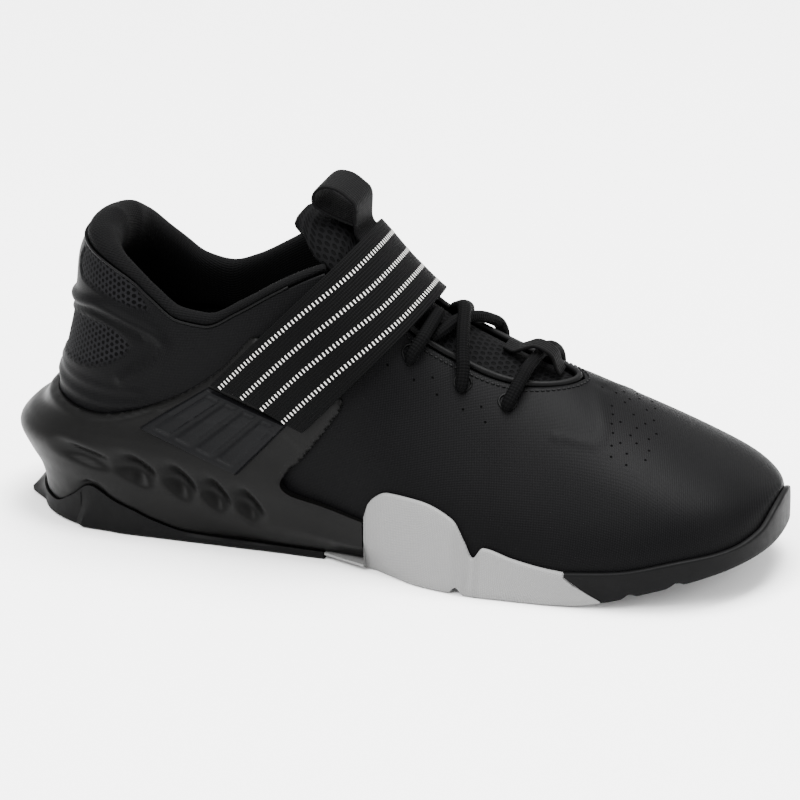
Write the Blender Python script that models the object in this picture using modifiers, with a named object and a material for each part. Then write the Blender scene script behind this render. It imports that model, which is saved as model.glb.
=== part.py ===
# A right weightlifting shoe with a raised heel, a strap over the instep and laces below it.
# +X points to the toe, -Y is the outer (lateral) side, Z = 0 is the floor.
# The origin lies on the floor under the middle of the heel.

import math
from collections import namedtuple

import bmesh
import bpy
import numpy as np

# Overall sizes of the last, in metres.
LENGTH = 0.300
HEEL_REACH = 0.050
BALL_WIDTH = 0.104
HEEL_WIDTH = 0.070
INSTEP_HEIGHT = 0.116
COLLAR_HEIGHT = 0.112
HEEL_LIFT = 0.028
BALL_LIFT = 0.011
TOE_SPRING = 0.0167
HEEL_FAN = 0.058

# Walls and clearances.
CLEARANCE = 0.0003
MERGE_DISTANCE = 0.00001
SLOPE_STEP = 0.0006
UPPER_WALL = 0.0022
INSOLE_THICKNESS = 0.0035
RUBBER_THICKNESS = 0.0032
SOLE_WRAP = 0.0019
WING_THICKNESS = 0.0026
STRAP_THICKNESS = 0.0018
TONGUE_THICKNESS = 0.0045
LINING_THICKNESS = 0.0050

# Throat, strap, laces and loop.
THROAT_OUTER = 0.0200
THROAT_INNER = 0.0150
BINDING_RADIUS = 0.0014
STRAP_WIDTH = 0.036
LACE_RADIUS = 0.0024
LOOP_WIDTH = 0.021
LOOP_HEIGHT = 0.0125
RIBBON_THICKNESS = 0.0013
KEEPER_WIDTH = 0.0085
TONGUE_MARGIN = 0.009
TONGUE_TOP_WIDTH = 0.052
TAB_THICKNESS = 0.0014
TAB_GAP = 0.0016
POCKET_DEPTH = 0.0032
FLANK_STEP = 0.0016
RUBBER_PROUD = 0.0008
SOLE_FLARE = 0.0022
WAIST_TUCK = 0.0035
WING_RISE = 0.035

OUTER = -1
INNER = 1

Section = namedtuple("Section", "along outer inner ridge ridge_shift fullness")
# along: share of LENGTH from the heel's back. outer, inner: half widths as shares of the width
# there. ridge: share of INSTEP_HEIGHT. ridge_shift: share of BALL_WIDTH, towards the inner side.
# fullness: power of the section's arch, small for a boxy one and large for a peaked one.
LAST = [
    Section(0.190, 0.500, 0.490, 1.300, 0.000, 0.74),
    Section(0.270, 0.490, 0.475, 1.290, 0.000, 0.72),
    Section(0.350, 0.470, 0.415, 1.240, 0.010, 0.70),
    Section(0.420, 0.445, 0.360, 1.120, 0.012, 0.76),
    Section(0.470, 0.432, 0.340, 1.008, 0.015, 0.88),
    Section(0.505, 0.435, 0.350, 0.902, 0.020, 0.98),
    Section(0.545, 0.450, 0.385, 0.796, 0.030, 1.10),
    Section(0.600, 0.480, 0.440, 0.722, 0.042, 1.22),
    Section(0.665, 0.500, 0.470, 0.645, 0.050, 1.24),
    Section(0.740, 0.500, 0.477, 0.571, 0.060, 1.14),
    Section(0.820, 0.485, 0.472, 0.481, 0.065, 1.00),
    Section(0.890, 0.468, 0.462, 0.407, 0.055, 0.88),
    Section(0.940, 0.460, 0.455, 0.354, 0.048, 0.80),
    Section(0.975, 0.455, 0.450, 0.308, 0.042, 0.74),
    Section(0.992, 0.455, 0.450, 0.284, 0.038, 0.72),
]

Footbed = namedtuple("Footbed", "along lift spring")
# lift: height of the footbed between BALL_LIFT (0) and HEEL_LIFT (1). spring: share of TOE_SPRING.
FOOTBED = [
    Footbed(0.000, 1.00, 0.00),
    Footbed(0.250, 1.00, 0.00),
    Footbed(0.350, 0.86, 0.00),
    Footbed(0.450, 0.52, 0.00),
    Footbed(0.540, 0.20, 0.00),
    Footbed(0.640, 0.02, 0.00),
    Footbed(0.740, 0.00, 0.00),
    Footbed(0.820, 0.00, 0.10),
    Footbed(0.900, 0.00, 0.36),
    Footbed(0.960, 0.00, 0.54),
    Footbed(1.000, 0.00, 0.62),
]

Underside = namedtuple("Underside", "along rise")
# rise: share of TOE_SPRING.
UNDERSIDE = [
    Underside(0.730, 0.00),
    Underside(0.775, 0.03),
    Underside(0.815, 0.15),
    Underside(0.860, 0.37),
    Underside(0.905, 0.58),
    Underside(0.950, 0.77),
    Underside(1.000, 1.00),
]

HeelCurve = namedtuple("HeelCurve", "height reach")
# The upper's back line. height: share of COLLAR_HEIGHT. reach: share of HEEL_WIDTH.
HEEL_CURVE = [
    HeelCurve(0.00, 0.590),
    HeelCurve(0.38, 0.592),
    HeelCurve(0.48, 0.572),
    HeelCurve(0.58, 0.543),
    HeelCurve(0.69, 0.502),
    HeelCurve(0.80, 0.468),
    HeelCurve(0.91, 0.450),
    HeelCurve(0.99, 0.405),
    HeelCurve(1.07, 0.340),
]

Collar = namedtuple("Collar", "along outer inner roll padding")
# The collar's edge from the back of the heel (0) forwards, along the perimeter of the last.
# outer, inner: top of the upper on either side, roll: how far the padding rises above it, shares
# of COLLAR_HEIGHT. padding: thickness of the padding as a multiple of LINING_THICKNESS.
COLLAR = [
    Collar(0.000, 0.985, 0.985, 0.080, 2.60),
    Collar(0.070, 0.975, 0.975, 0.076, 2.40),
    Collar(0.130, 0.950, 0.930, 0.062, 1.80),
    Collar(0.180, 0.905, 0.850, 0.048, 1.30),
    Collar(0.215, 0.835, 0.785, 0.042, 1.10),
    Collar(0.250, 0.775, 0.765, 0.042, 1.00),
    Collar(0.285, 0.768, 0.795, 0.042, 1.00),
    Collar(0.330, 0.830, 0.865, 0.042, 1.00),
    Collar(0.375, 0.905, 0.945, 0.040, 1.00),
    Collar(0.415, 0.960, 0.985, 0.036, 1.00),
    Collar(0.440, 0.985, 0.995, 0.030, 1.00),
]

Flank = namedtuple("Flank", "name back_z side_z waist_z front_z back side waist front")
# Side of the heel clip, bottom to top. The _z columns are heights as shares of HEEL_LIFT, the
# others the swell beyond the upper as shares of HEEL_WIDTH, at four places along the perimeter.
# The foot's height follows the heel rubber instead.
FLANKS = [
    Flank("foot", 0.000, 0.000, 0.000, 0.000, 0.078, 0.030, -0.026, -0.045),
    Flank("flank", 0.42, 0.46, 0.30, 0.22, 0.085, 0.040, 0.010, -0.010),
    Flank("lower ridge", 0.62, 0.76, 0.52, 0.36, 0.110, 0.062, 0.045, 0.030),
    Flank("pocket", 0.86, 0.96, 0.72, 0.47, 0.185, 0.055, 0.040, 0.028),
    Flank("upper ridge", 1.16, 1.22, 0.96, 0.58, 0.225, 0.085, 0.062, 0.034),
    Flank("shoulder", 1.38, 1.42, 1.20, 0.68, 0.165, 0.074, 0.056, 0.036),
    Flank("valley", 1.53, 1.62, 1.48, 0.78, 0.075, 0.052, 0.044, 0.037),
    Flank("band", 1.72, 1.88, 1.85, 0.90, 0.041, 0.040, 0.040, 0.038),
]

Rim = namedtuple("Rim", "along height")
# Side view of the heel clip's upper edge, with the wing that carries the strap.
# along: share of LENGTH from the heel's back. height: share of COLLAR_HEIGHT.
RIM = [
    Rim(-0.050, 0.445),
    Rim(0.065, 0.432),
    Rim(0.120, 0.418),
    Rim(0.165, 0.430),
    Rim(0.215, 0.475),
    Rim(0.262, 0.540),
    Rim(0.308, 0.635),
    Rim(0.340, 0.735),
    Rim(0.352, 0.762),
    Rim(0.366, 0.752),
    Rim(0.400, 0.690),
    Rim(0.440, 0.620),
    Rim(0.462, 0.592),
    Rim(0.468, 0.562),
    Rim(0.455, 0.500),
    Rim(0.420, 0.370),
    Rim(0.392, 0.285),
    Rim(0.402, 0.240),
    Rim(0.440, 0.215),
    Rim(0.500, 0.178),
    Rim(0.560, 0.160),
]

Wrap = namedtuple("Wrap", "along height")
# Upper edge of the heel rubber, height as a share of HEEL_LIFT.
HEEL_WRAP = [
    Wrap(0.000, 0.330),
    Wrap(0.045, 0.260),
    Wrap(0.085, 0.240),
    Wrap(0.118, 0.420),
    Wrap(0.145, 0.640),
    Wrap(0.175, 0.470),
    Wrap(0.215, 0.270),
    Wrap(0.265, 0.140),
    Wrap(0.330, 0.118),
    Wrap(0.470, 0.118),
]
# Upper edge of the grey forefoot rubber and of the black toe, height as a share of HEEL_LIFT.
FOREFOOT_WRAP = [
    Wrap(0.500, 0.700),
    Wrap(0.510, 1.020),
    Wrap(0.532, 1.160),
    Wrap(0.575, 1.130),
    Wrap(0.620, 0.960),
    Wrap(0.638, 0.700),
    Wrap(0.650, 0.510),
    Wrap(0.662, 0.655),
    Wrap(0.700, 0.560),
    Wrap(0.740, 0.490),
    Wrap(0.765, 0.465),
]
TOE_WRAP = [
    Wrap(0.765, 0.465),
    Wrap(0.830, 0.530),
    Wrap(0.900, 0.680),
    Wrap(0.955, 0.760),
    Wrap(0.980, 0.880),
    Wrap(0.992, 1.130),
]

Groove = namedtuple("Groove", "along depth")
# Cross grooves in the underside, depth as a share of RUBBER_THICKNESS.
GROOVES = [
    Groove(0.632, 0.80),
    Groove(0.845, 0.40),
    Groove(0.898, 0.45),
]

# Over the instep the inner side's arch is fuller than the outer side's, by this factor of its
# power, between two places that are shares of LENGTH, growing and fading over INSTEP_EASE.
INNER_FULLNESS = 0.90
INSTEP_START = 0.250
INSTEP_END = 0.950
INSTEP_EASE = 0.150

# Places along the shoe, as shares of LENGTH from the heel's back.
HEEL_MIDDLE = 0.193
HEEL_RUBBER_END = 0.443
CLIP_END = 0.500
RUBBER_JOINT = 0.764
JOINT_LEAN = 0.047
TOE_START = 0.800
TOE_TIP = 0.992
COLLAR_CORNER = 0.440
THROAT_TURN = 0.615
THROAT_FRONT = 0.737
TONGUE_TOP = 0.430
FLARE_MIDDLE = 0.640
FLARE_SPAN = 0.170
STRAP_RIDGE = 0.504
WAIST = 0.370
WIDENING = 0.420
THROAT_FLARE_END = 0.520
THROAT_FLARE = 0.450
LEAN_SPAN = 0.110
TUCK_END = 0.580
TUCK_SPAN = 0.080
RIM_DROP = 0.462

# Scooped pockets along the clip's flank, between two places along the shoe.
POCKET_START = 0.135
POCKET_END = 0.385
POCKETS = 6

# The strap's slope in side view, in degrees.
STRAP_SLOPE = 47.0

# Heights of the uncut heel clip, as shares of COLLAR_HEIGHT: round the back and at the wings.
CLIP_BACK = 0.52
CLIP_WINGS = 0.83
# Its height at its front end, as a share of HEEL_LIFT.
CLIP_FRONT = 1.30

# The flat seat between clip and heel rubber reaches this share of the way to the rubber's crest.
SEAT_SHARE = 0.86

Plan = namedtuple("Plan", "around back out")
# Plan of the heel rubber round the back: a flat back, a chamfer, then the side. around: share of
# the heel's fan. back: share of the way to the back. out: share of the half width.
HEEL_PLAN = [
    Plan(0.00, 0.90, 0.000),
    Plan(0.12, 0.90, 0.200),
    Plan(0.80, 0.38, 0.955),
    Plan(1.00, 0.00, 1.000),
]
HEEL_PLAN_WIDTH = 0.545
HEEL_PLAN_REACH = 1.02

# The lining's lower edge as a share of COLLAR_HEIGHT.
LINING_BOTTOM = 0.62

Corner = namedtuple("Corner", "along height")
# Corners of the strap's end pads in side view, shares of LENGTH and COLLAR_HEIGHT.
TAB = [
    Corner(0.295, 0.575),
    Corner(0.402, 0.485),
    Corner(0.335, 0.285),
    Corner(0.203, 0.402),
]


def smooth_column(table, name, at):
    # Reads a column of a table at any place, along a smooth curve through its rows that never
    # overshoots them. The first column says where each row lies.
    places = [row[0] for row in table]
    values = [getattr(row, name) for row in table]
    if at <= places[0]:
        return values[0]
    if at >= places[-1]:
        return values[-1]
    steps = np.diff(places)
    slopes = np.diff(values) / steps
    tangents = [slopes[0]]
    for before, after in zip(slopes[:-1], slopes[1:]):
        same_way = before * after > 0
        tangents.append(2 * before * after / (before + after) if same_way else 0.0)
    tangents.append(slopes[-1])
    k = int(np.searchsorted(places, at, side="right")) - 1
    t = (at - places[k]) / steps[k]
    rise = values[k + 1] - values[k]
    leave = tangents[k] * steps[k]
    arrive = tangents[k + 1] * steps[k]
    square = 3 * rise - 2 * leave - arrive
    cube = leave + arrive - 2 * rise
    return values[k] + t * leave + t * t * square + t ** 3 * cube


def mix(a, b, t):
    return a + (b - a) * t


def ease(t):
    t = min(max(t, 0.0), 1.0)
    return t * t * (3 - 2 * t)


def place(along):
    return along * LENGTH - HEEL_REACH


def share(x):
    return (x + HEEL_REACH) / LENGTH


HEEL_X = place(HEEL_MIDDLE)


def section_x(station):
    # A station is a distance along the perimeter from the widest part of the heel: below zero it
    # runs around the back of the heel, above zero it runs forwards.
    return HEEL_X + max(station, 0.0)


def station_at(along):
    return place(along) - HEEL_X


def footbed_height(x):
    at = share(x)
    lift = smooth_column(FOOTBED, "lift", at)
    spring = smooth_column(FOOTBED, "spring", at)
    return BALL_LIFT + (HEEL_LIFT - BALL_LIFT) * lift + TOE_SPRING * spring


def underside_height(x):
    at = share(x)
    rise = TOE_SPRING * smooth_column(UNDERSIDE, "rise", at)
    for groove in GROOVES:
        away = abs(at - groove.along) * LENGTH
        rise += RUBBER_THICKNESS * groove.depth * ease(1 - away / RUBBER_THICKNESS)
    return rise


def width_at(x):
    return mix(HEEL_WIDTH, BALL_WIDTH, ease((share(x) - HEEL_MIDDLE) / WIDENING))


def toe_closing(x):
    start = place(TOE_START)
    if x <= start:
        return 1.0
    reach = min((x - start) / (place(TOE_TIP) - start), 1.0)
    return (1 - reach ** 2.4) ** (1 / 2.4)


def fullness_at(side, at):
    power = smooth_column(LAST, "fullness", at)
    if side == OUTER:
        return power
    instep = ease((at - INSTEP_START) / INSTEP_EASE) * ease((INSTEP_END - at) / INSTEP_EASE)
    return power * mix(1.0, INNER_FULLNESS, instep)


def arch(side, x):
    # Ridge shift, half span, lower edge, height and power of the upper's section at x.
    at = share(x)
    shift = BALL_WIDTH * smooth_column(LAST, "ridge_shift", at)
    half = width_at(x) * smooth_column(LAST, "outer" if side == OUTER else "inner", at)
    span = (half - side * shift) * toe_closing(x)
    low = footbed_height(x) + CLEARANCE
    height = INSTEP_HEIGHT * smooth_column(LAST, "ridge", at) - low
    return shift, span, low, height, fullness_at(side, at)


def surface_point(side, station, turn):
    # A point of the upper's outer face. turn runs from the feather edge (0) to the ridge (1).
    shift, span, low, height, power = arch(side, section_x(station))
    angle = min(max(turn, 0.0), 1.0) * math.pi / 2
    out = max(math.cos(angle), 0.0) ** power
    z = low + height * math.sin(angle) ** power
    if station >= 0:
        return np.array([section_x(station), shift + side * span * out, z])
    around = min(-station / HEEL_FAN, 1.0) * math.pi / 2
    reach = HEEL_WIDTH * smooth_column(HEEL_CURVE, "reach", z / COLLAR_HEIGHT)
    sideways = max(math.cos(around), 0.0) ** 0.9
    backwards = math.sin(around) ** 0.9
    return np.array([HEEL_X - reach * backwards, (shift + side * span * out) * sideways, z])


def turn_at_height(side, station, z):
    shift, span, low, height, power = arch(side, section_x(station))
    part = min(max((z - low) / height, 0.0), 1.0)
    return math.asin(part ** (1 / power)) * 2 / math.pi


def offset_point(side, station, turn, offset=0.0):
    # A point at a distance from the upper's outer face, outwards where offset is above zero.
    last = station_at(TOE_TIP)
    point = surface_point(side, station, turn)
    ahead = surface_point(side, min(station + SLOPE_STEP, last), turn)
    behind = surface_point(side, max(station - SLOPE_STEP, -HEEL_FAN), turn)
    above = surface_point(side, station, min(turn + 0.01, 1.0))
    below = surface_point(side, station, max(turn - 0.01, 0.0))
    normal = np.cross(above - below, ahead - behind) * side
    on_back = station <= -HEEL_FAN + SLOPE_STEP / 10
    if on_back or turn >= 1.0 or station >= last:
        normal[1] = 0.0
    normal /= np.linalg.norm(normal)
    return point + normal * offset


def flank_point(side, station, z, offset):
    # The same at a height, also below the feather edge, where the wall goes straight down.
    point = offset_point(side, station, turn_at_height(side, station, z), offset)
    low = footbed_height(section_x(station)) + CLEARANCE
    if z < low:
        point[2] = z
    return point


def throat_half(side, x):
    # Half width of the throat, from the collar's corner to its round front end.
    widest = THROAT_OUTER if side == OUTER else THROAT_INNER
    at = share(x)
    if at >= THROAT_FRONT:
        return 0.0
    if at > THROAT_TURN:
        reach = (at - THROAT_TURN) / (THROAT_FRONT - THROAT_TURN)
        return widest * math.sqrt(1 - reach * reach)
    flare = THROAT_FLARE * ease((THROAT_FLARE_END - at) / (THROAT_FLARE_END - COLLAR_CORNER))
    return widest * (1 + flare)


def collar_edge(side, station):
    column = "outer" if side == OUTER else "inner"
    return COLLAR_HEIGHT * smooth_column(COLLAR, column, perimeter_share(station))


def edge_turn(side, station):
    # Where the upper ends: at the collar, the throat or, ahead of the throat, the ridge.
    x = section_x(station)
    if share(x) < COLLAR_CORNER - 0.001:
        return turn_at_height(side, station, collar_edge(side, station))
    shift, span, low, height, power = arch(side, x)
    part = min(throat_half(side, x) / max(span, 1e-6), 1.0)
    return math.acos(part ** (1 / power)) * 2 / math.pi


def perimeter_share(station):
    # The heel's fan is spread over the shares behind the heel's middle.
    if station < 0:
        return HEEL_MIDDLE * (1 + station / HEEL_FAN)
    return share(section_x(station))


FAN_STATIONS = [-HEEL_FAN * (1 - k / 9) for k in range(9)]
SIDE_SHARES = [HEEL_MIDDLE, 0.233, 0.273, 0.313, 0.353, 0.397]
THROAT_SHARES = [COLLAR_CORNER, 0.470, 0.500, 0.520, 0.540, 0.562, 0.590]
VAMP_SHARES = [0.763, 0.795, 0.830, 0.865, 0.898, 0.928, 0.952, 0.970, 0.982, 0.989, TOE_TIP]


def throat_turn_shares():
    span = THROAT_FRONT - THROAT_TURN
    return [THROAT_TURN + span * math.sin(k / 5 * math.pi / 2) for k in range(6)]


def upper_stations():
    shares = SIDE_SHARES + THROAT_SHARES + throat_turn_shares() + VAMP_SHARES
    return FAN_STATIONS + [station_at(at) for at in shares]


def merge_doubles(mesh):
    bmesh.ops.remove_doubles(mesh, verts=mesh.verts, dist=MERGE_DISTANCE)
    bmesh.ops.dissolve_degenerate(mesh, edges=mesh.edges, dist=MERGE_DISTANCE)


def join_columns(mesh, left, right):
    # Fills the strip between two columns of corners. Each four corners are split along their
    # shorter diagonal, so that two pieces along the same surface stay parallel. The first and the
    # last four are split so that no triangle lies wholly in the seam of the two sides at the toe.
    last = len(left) - 2
    for k, (a, b, c, d) in enumerate(zip(left[:-1], right[:-1], right[1:], left[1:])):
        shorter = (b.co - d.co).length < (a.co - c.co).length
        if k == 0 or (shorter and k < last):
            corners = ((a, b, d), (b, c, d))
        else:
            corners = ((a, b, c), (a, c, d))
        for triangle in corners:
            mesh.faces.new(triangle)


def grid_mesh(grids):
    # Joins grids of points into one mesh. Each grid is a list of equally long columns.
    mesh = bmesh.new()
    for columns in grids:
        rows = [[mesh.verts.new(point) for point in column] for column in columns]
        for left, right in zip(rows[:-1], rows[1:]):
            join_columns(mesh, left, right)
    merge_doubles(mesh)
    return mesh


def add_part(name, mesh, colour, roughness):
    bmesh.ops.recalc_face_normals(mesh, faces=mesh.faces)
    closed = all(edge.is_manifold for edge in mesh.edges)
    if closed and mesh.calc_volume(signed=True) < 0:
        bmesh.ops.reverse_faces(mesh, faces=mesh.faces)
    data = bpy.data.meshes.new(name)
    mesh.to_mesh(data)
    mesh.free()
    part = bpy.data.objects.new(name, data)
    bpy.data.collections["weightlifting_shoe"].objects.link(part)
    give_finish(part, colour, roughness)
    return part


def give_finish(part, colour, roughness):
    finish = bpy.data.materials.new(part.name)
    finish.use_nodes = True
    shader = finish.node_tree.nodes["Principled BSDF"]
    shader.inputs["Base Color"].default_value = (*colour, 1.0)
    shader.inputs["Roughness"].default_value = roughness
    part.data.materials.clear()
    part.data.materials.append(finish)
    part.data.shade_smooth()
    part.data.set_sharp_from_angle(angle=math.radians(40))


def thicken(part, thickness, side):
    # Gives an open sheet its thickness, beyond its front face (1), behind it (-1) or both (0).
    wall = part.modifiers.new("wall", "SOLIDIFY")
    wall.thickness = thickness
    wall.offset = side


def face_up(part, direction):
    # Turns an open sheet's front faces towards a direction.
    facing = sum(face.normal.dot(direction) * face.area for face in part.data.polygons)
    if facing < 0:
        part.data.flip_normals()


def half_section_part(name, columns_of, stations, colour, roughness):
    # A solid made of half sections from the shoe's middle plane outwards and back again, one per
    # station and side. An end that isn't at the back of the heel or the toe's tip gets a flat face.
    open_back = stations[0] > -HEEL_FAN + CLEARANCE
    open_front = stations[-1] < station_at(TOE_TIP) - CLEARANCE / 10
    mesh = bmesh.new()
    for side in (OUTER, INNER):
        columns = [[mesh.verts.new(point) for point in columns_of(side, station)] for station in stations]
        for left, right in zip(columns[:-1], columns[1:]):
            join_columns(mesh, left, right)
        if open_back:
            mesh.faces.new(columns[0])
        if open_front:
            mesh.faces.new(columns[-1])
    merge_doubles(mesh)
    return add_part(name, mesh, colour, roughness)


def make_upper():
    rows = 10
    grids = []
    for side in (OUTER, INNER):
        columns = []
        for station in upper_stations():
            top = edge_turn(side, station)
            columns.append([surface_point(side, station, top * k / rows) for k in range(rows + 1)])
        grids.append(columns)
    upper = add_part("upper", grid_mesh(grids), (0.014, 0.014, 0.016), 0.55)
    face_up(upper, (0.0, 0.0, 1.0))
    thicken(upper, UPPER_WALL, -1)


def flank_row(row, side, station):
    # One row of the heel clip's side, between its four charted places.
    at = perimeter_share(station)
    stops = [0.0, HEEL_MIDDLE, WAIST, CLIP_END]
    k = 0 if at < stops[1] else 1 if at < stops[2] else 2
    t = ease((at - stops[k]) / (stops[k + 1] - stops[k]))
    heights = (row.back_z, row.side_z, row.waist_z, row.front_z)
    swells = (row.back, row.side, row.waist, row.front)
    wrap = HEEL_LIFT * smooth_column(HEEL_WRAP, "height", at)
    z = max(HEEL_LIFT * mix(heights[k], heights[k + 1], t), wrap + FLANK_STEP * FLANKS.index(row))
    swell = HEEL_WIDTH * mix(swells[k], swells[k + 1], t)
    if row.name == "pocket":
        swell -= pocket_depth(at)
    point = flank_point(side, station, z, swell)
    if station > 0:
        point[0] = section_x(station)
    return point


def pocket_depth(at):
    if not POCKET_START < at < POCKET_END:
        return 0.0
    cycle = (at - POCKET_START) / (POCKET_END - POCKET_START) * POCKETS
    return POCKET_DEPTH * math.sin(math.pi * (cycle % 1.0)) ** 2


def clip_stations():
    pitch = (POCKET_END - HEEL_MIDDLE) / 13
    shares = [HEEL_MIDDLE + pitch * k for k in range(14)] + [0.41, 0.44, 0.47, CLIP_END]
    return FAN_STATIONS + [station_at(at) for at in shares]


def make_midsole():
    # The heel clip: a cup loft, cut in side view to the outline of its rim and wings.
    def columns_of(side, station):
        x = section_x(station)
        outside = [flank_row(row, side, station) for row in FLANKS]
        lift = outside[-1][2]
        top = COLLAR_HEIGHT * mix(CLIP_BACK, CLIP_WINGS, ease(station / WING_RISE))
        top = mix(top, HEEL_LIFT * CLIP_FRONT, ease((share(x) - RIM_DROP) / (CLIP_END - RIM_DROP)))
        heights = [mix(lift, top, k / 4) for k in range(1, 5)]
        outside += [flank_point(side, station, z, WING_THICKNESS + CLEARANCE) for z in heights]
        bed = footbed_height(x)
        inside = [flank_point(side, station, mix(top, bed, k / 7), CLEARANCE) for k in range(8)]
        inside[-1][2] = bed
        outside[0][2] += CLEARANCE
        floor = floor_corner(station, outside[0], RUBBER_THICKNESS + CLEARANCE)
        middle = np.array([x, 0.0, floor[2]])
        return [middle, floor] + outside + inside + [np.array([x, 0.0, bed])]

    clip = half_section_part("midsole", columns_of, clip_stations(), (0.012, 0.012, 0.012), 0.5)
    cutter = side_outline_cutter("midsole_rim", RIM)
    cut = clip.modifiers.new("rim", "BOOLEAN")
    cut.operation = "INTERSECT"
    cut.object = cutter


def side_outline_cutter(name, rim):
    # A plate with the side view's outline, as wide as the shoe, closed well below the floor.
    corners = [(place(row.along), COLLAR_HEIGHT * row.height) for row in rim]
    corners = [(corners[0][0], -HEEL_LIFT)] + corners + [(corners[-1][0], -HEEL_LIFT)]
    curve = bpy.data.curves.new(name, "CURVE")
    curve.dimensions = "2D"
    curve.fill_mode = "BOTH"
    curve.extrude = BALL_WIDTH
    spline = curve.splines.new("POLY")
    spline.use_cyclic_u = True
    spline.points.add(len(corners) - 1)
    for point, (x, z) in zip(spline.points, corners):
        point.co = (x, z, 0.0, 1.0)
    outline = bpy.data.objects.new(name + "_outline", curve)
    bpy.data.collections["cutters"].objects.link(outline)
    outline.rotation_euler = (math.pi / 2, 0.0, 0.0)
    return meshed(outline, name, "cutters")


def meshed(outline, name, collection):
    # Turns a curve object into a closed mesh object of the same place.
    bpy.context.view_layer.update()
    graph = bpy.context.evaluated_depsgraph_get()
    data = bpy.data.meshes.new_from_object(outline.evaluated_get(graph))
    mesh = bmesh.new()
    mesh.from_mesh(data)
    bmesh.ops.remove_doubles(mesh, verts=mesh.verts, dist=MERGE_DISTANCE)
    bmesh.ops.recalc_face_normals(mesh, faces=mesh.faces)
    mesh.to_mesh(data)
    mesh.free()
    body = bpy.data.objects.new(name, data)
    body.matrix_world = outline.matrix_world
    bpy.data.collections[collection].objects.link(body)
    bpy.data.objects.remove(outline)
    if collection == "cutters":
        body.hide_render = True
        body.display_type = "WIRE"
    return body


def heel_outline(side, station):
    # Plan of the heel rubber: a flat back, a straight chamfer, then along the side.
    side_y = side * HEEL_WIDTH * HEEL_PLAN_WIDTH
    if station >= 0:
        return np.array([section_x(station), side_y, 0.0])
    around = [row.around for row in HEEL_PLAN]
    back = np.interp(1 + station / HEEL_FAN, around, [row.back for row in HEEL_PLAN])
    out = np.interp(1 + station / HEEL_FAN, around, [row.out for row in HEEL_PLAN])
    reach = HEEL_X + HEEL_REACH * HEEL_PLAN_REACH
    return np.array([HEEL_X - back * reach, side_y * out, 0.0])


def floor_corner(station, crest, z):
    # Where the flat seat between clip and heel rubber turns up towards the rubber's crest.
    centre = np.array([section_x(station), 0.0])
    flat = centre + (crest[:2] - centre) * SEAT_SHARE
    return np.array([flat[0], flat[1], z])


def make_outsole_heel():
    def columns_of(side, station):
        x = section_x(station)
        crest = flank_row(FLANKS[0], side, station)
        centre = np.array([x, 0.0])
        outward = (crest[:2] - centre) / np.linalg.norm(crest[:2] - centre)
        crest[:2] += outward * CLEARANCE
        rim = crest.copy()
        rim[:2] += outward * RUBBER_PROUD
        foot = heel_outline(side, station)
        reach = np.dot(foot[:2] - centre, outward)
        if reach < np.dot(rim[:2] - centre, outward):
            foot[:2] = rim[:2]
        edge = foot.copy()
        edge[:2] += (centre - foot[:2]) * 0.03
        low = foot + np.array([0.0, 0.0, RUBBER_THICKNESS * 0.3])
        lip = foot + np.array([0.0, 0.0, RUBBER_THICKNESS * 0.8])
        floor = floor_corner(station, crest, RUBBER_THICKNESS)
        bottom = np.array([x, 0.0, 0.0])
        middle = np.array([x, 0.0, RUBBER_THICKNESS])
        return [bottom, edge, low, lip, rim, crest, floor, middle]

    end = station_at(HEEL_RUBBER_END)
    stations = [station for station in clip_stations() if station < end] + [end]
    half_section_part("outsole_heel", columns_of, stations, (0.012, 0.012, 0.012), 0.6)


def sole_column(side, x, wrap, floor_to=None):
    # Half section of the forefoot or toe rubber. Near the joint of the two the section leans
    # forwards towards the floor.
    lean = JOINT_LEAN * LENGTH * ease(1 - abs(share(x) - RUBBER_JOINT) / LEAN_SPAN)
    tuck = WAIST_TUCK * ease((TUCK_END - share(x)) / TUCK_SPAN)
    top = HEEL_LIFT * smooth_column(wrap, "height", share(x))
    bed = footbed_height(x)
    tip = place(TOE_TIP)

    def leaned(height_share):
        return min(x + lean * (1 - height_share), tip)

    foot_x = leaned(0.0)
    low = underside_height(foot_x)
    foot_station = foot_x - HEEL_X
    station = x - HEEL_X
    flare = SOLE_FLARE * ease(1 - abs(share(x) - FLARE_MIDDLE) / FLARE_SPAN)
    side_low = offset_point(side, foot_station, 0.0, SOLE_WRAP - tuck + flare + CLEARANCE)
    side_low[2] = low + RUBBER_THICKNESS * 0.4
    edge = offset_point(side, foot_station, 0.0, SOLE_WRAP - tuck + flare - RUBBER_THICKNESS * 0.4)
    edge[2] = low
    mid_x = leaned(0.75)
    wall = offset_point(side, mid_x - HEEL_X, 0.0, SOLE_WRAP + flare * 0.25 + CLEARANCE)
    wall[2] = mix(underside_height(mid_x), footbed_height(mid_x), 0.75)
    upward = [flank_point(side, station, mix(bed, top, k / 2), SOLE_WRAP + CLEARANCE) for k in (1, 2)]
    inward = [flank_point(side, station, mix(top, bed, k / 3), CLEARANCE) for k in range(4)]
    inward[-1][2] = bed
    middle = middle_point(foot_station, low, edge)
    bed_middle = middle_point(station, bed, inward[-1])
    column = [middle, edge, side_low, wall] + upward + inward + [bed_middle]
    for point in column:
        point[0] = max(point[0], place(CLIP_END) + CLEARANCE * 2)
    return column


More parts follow.
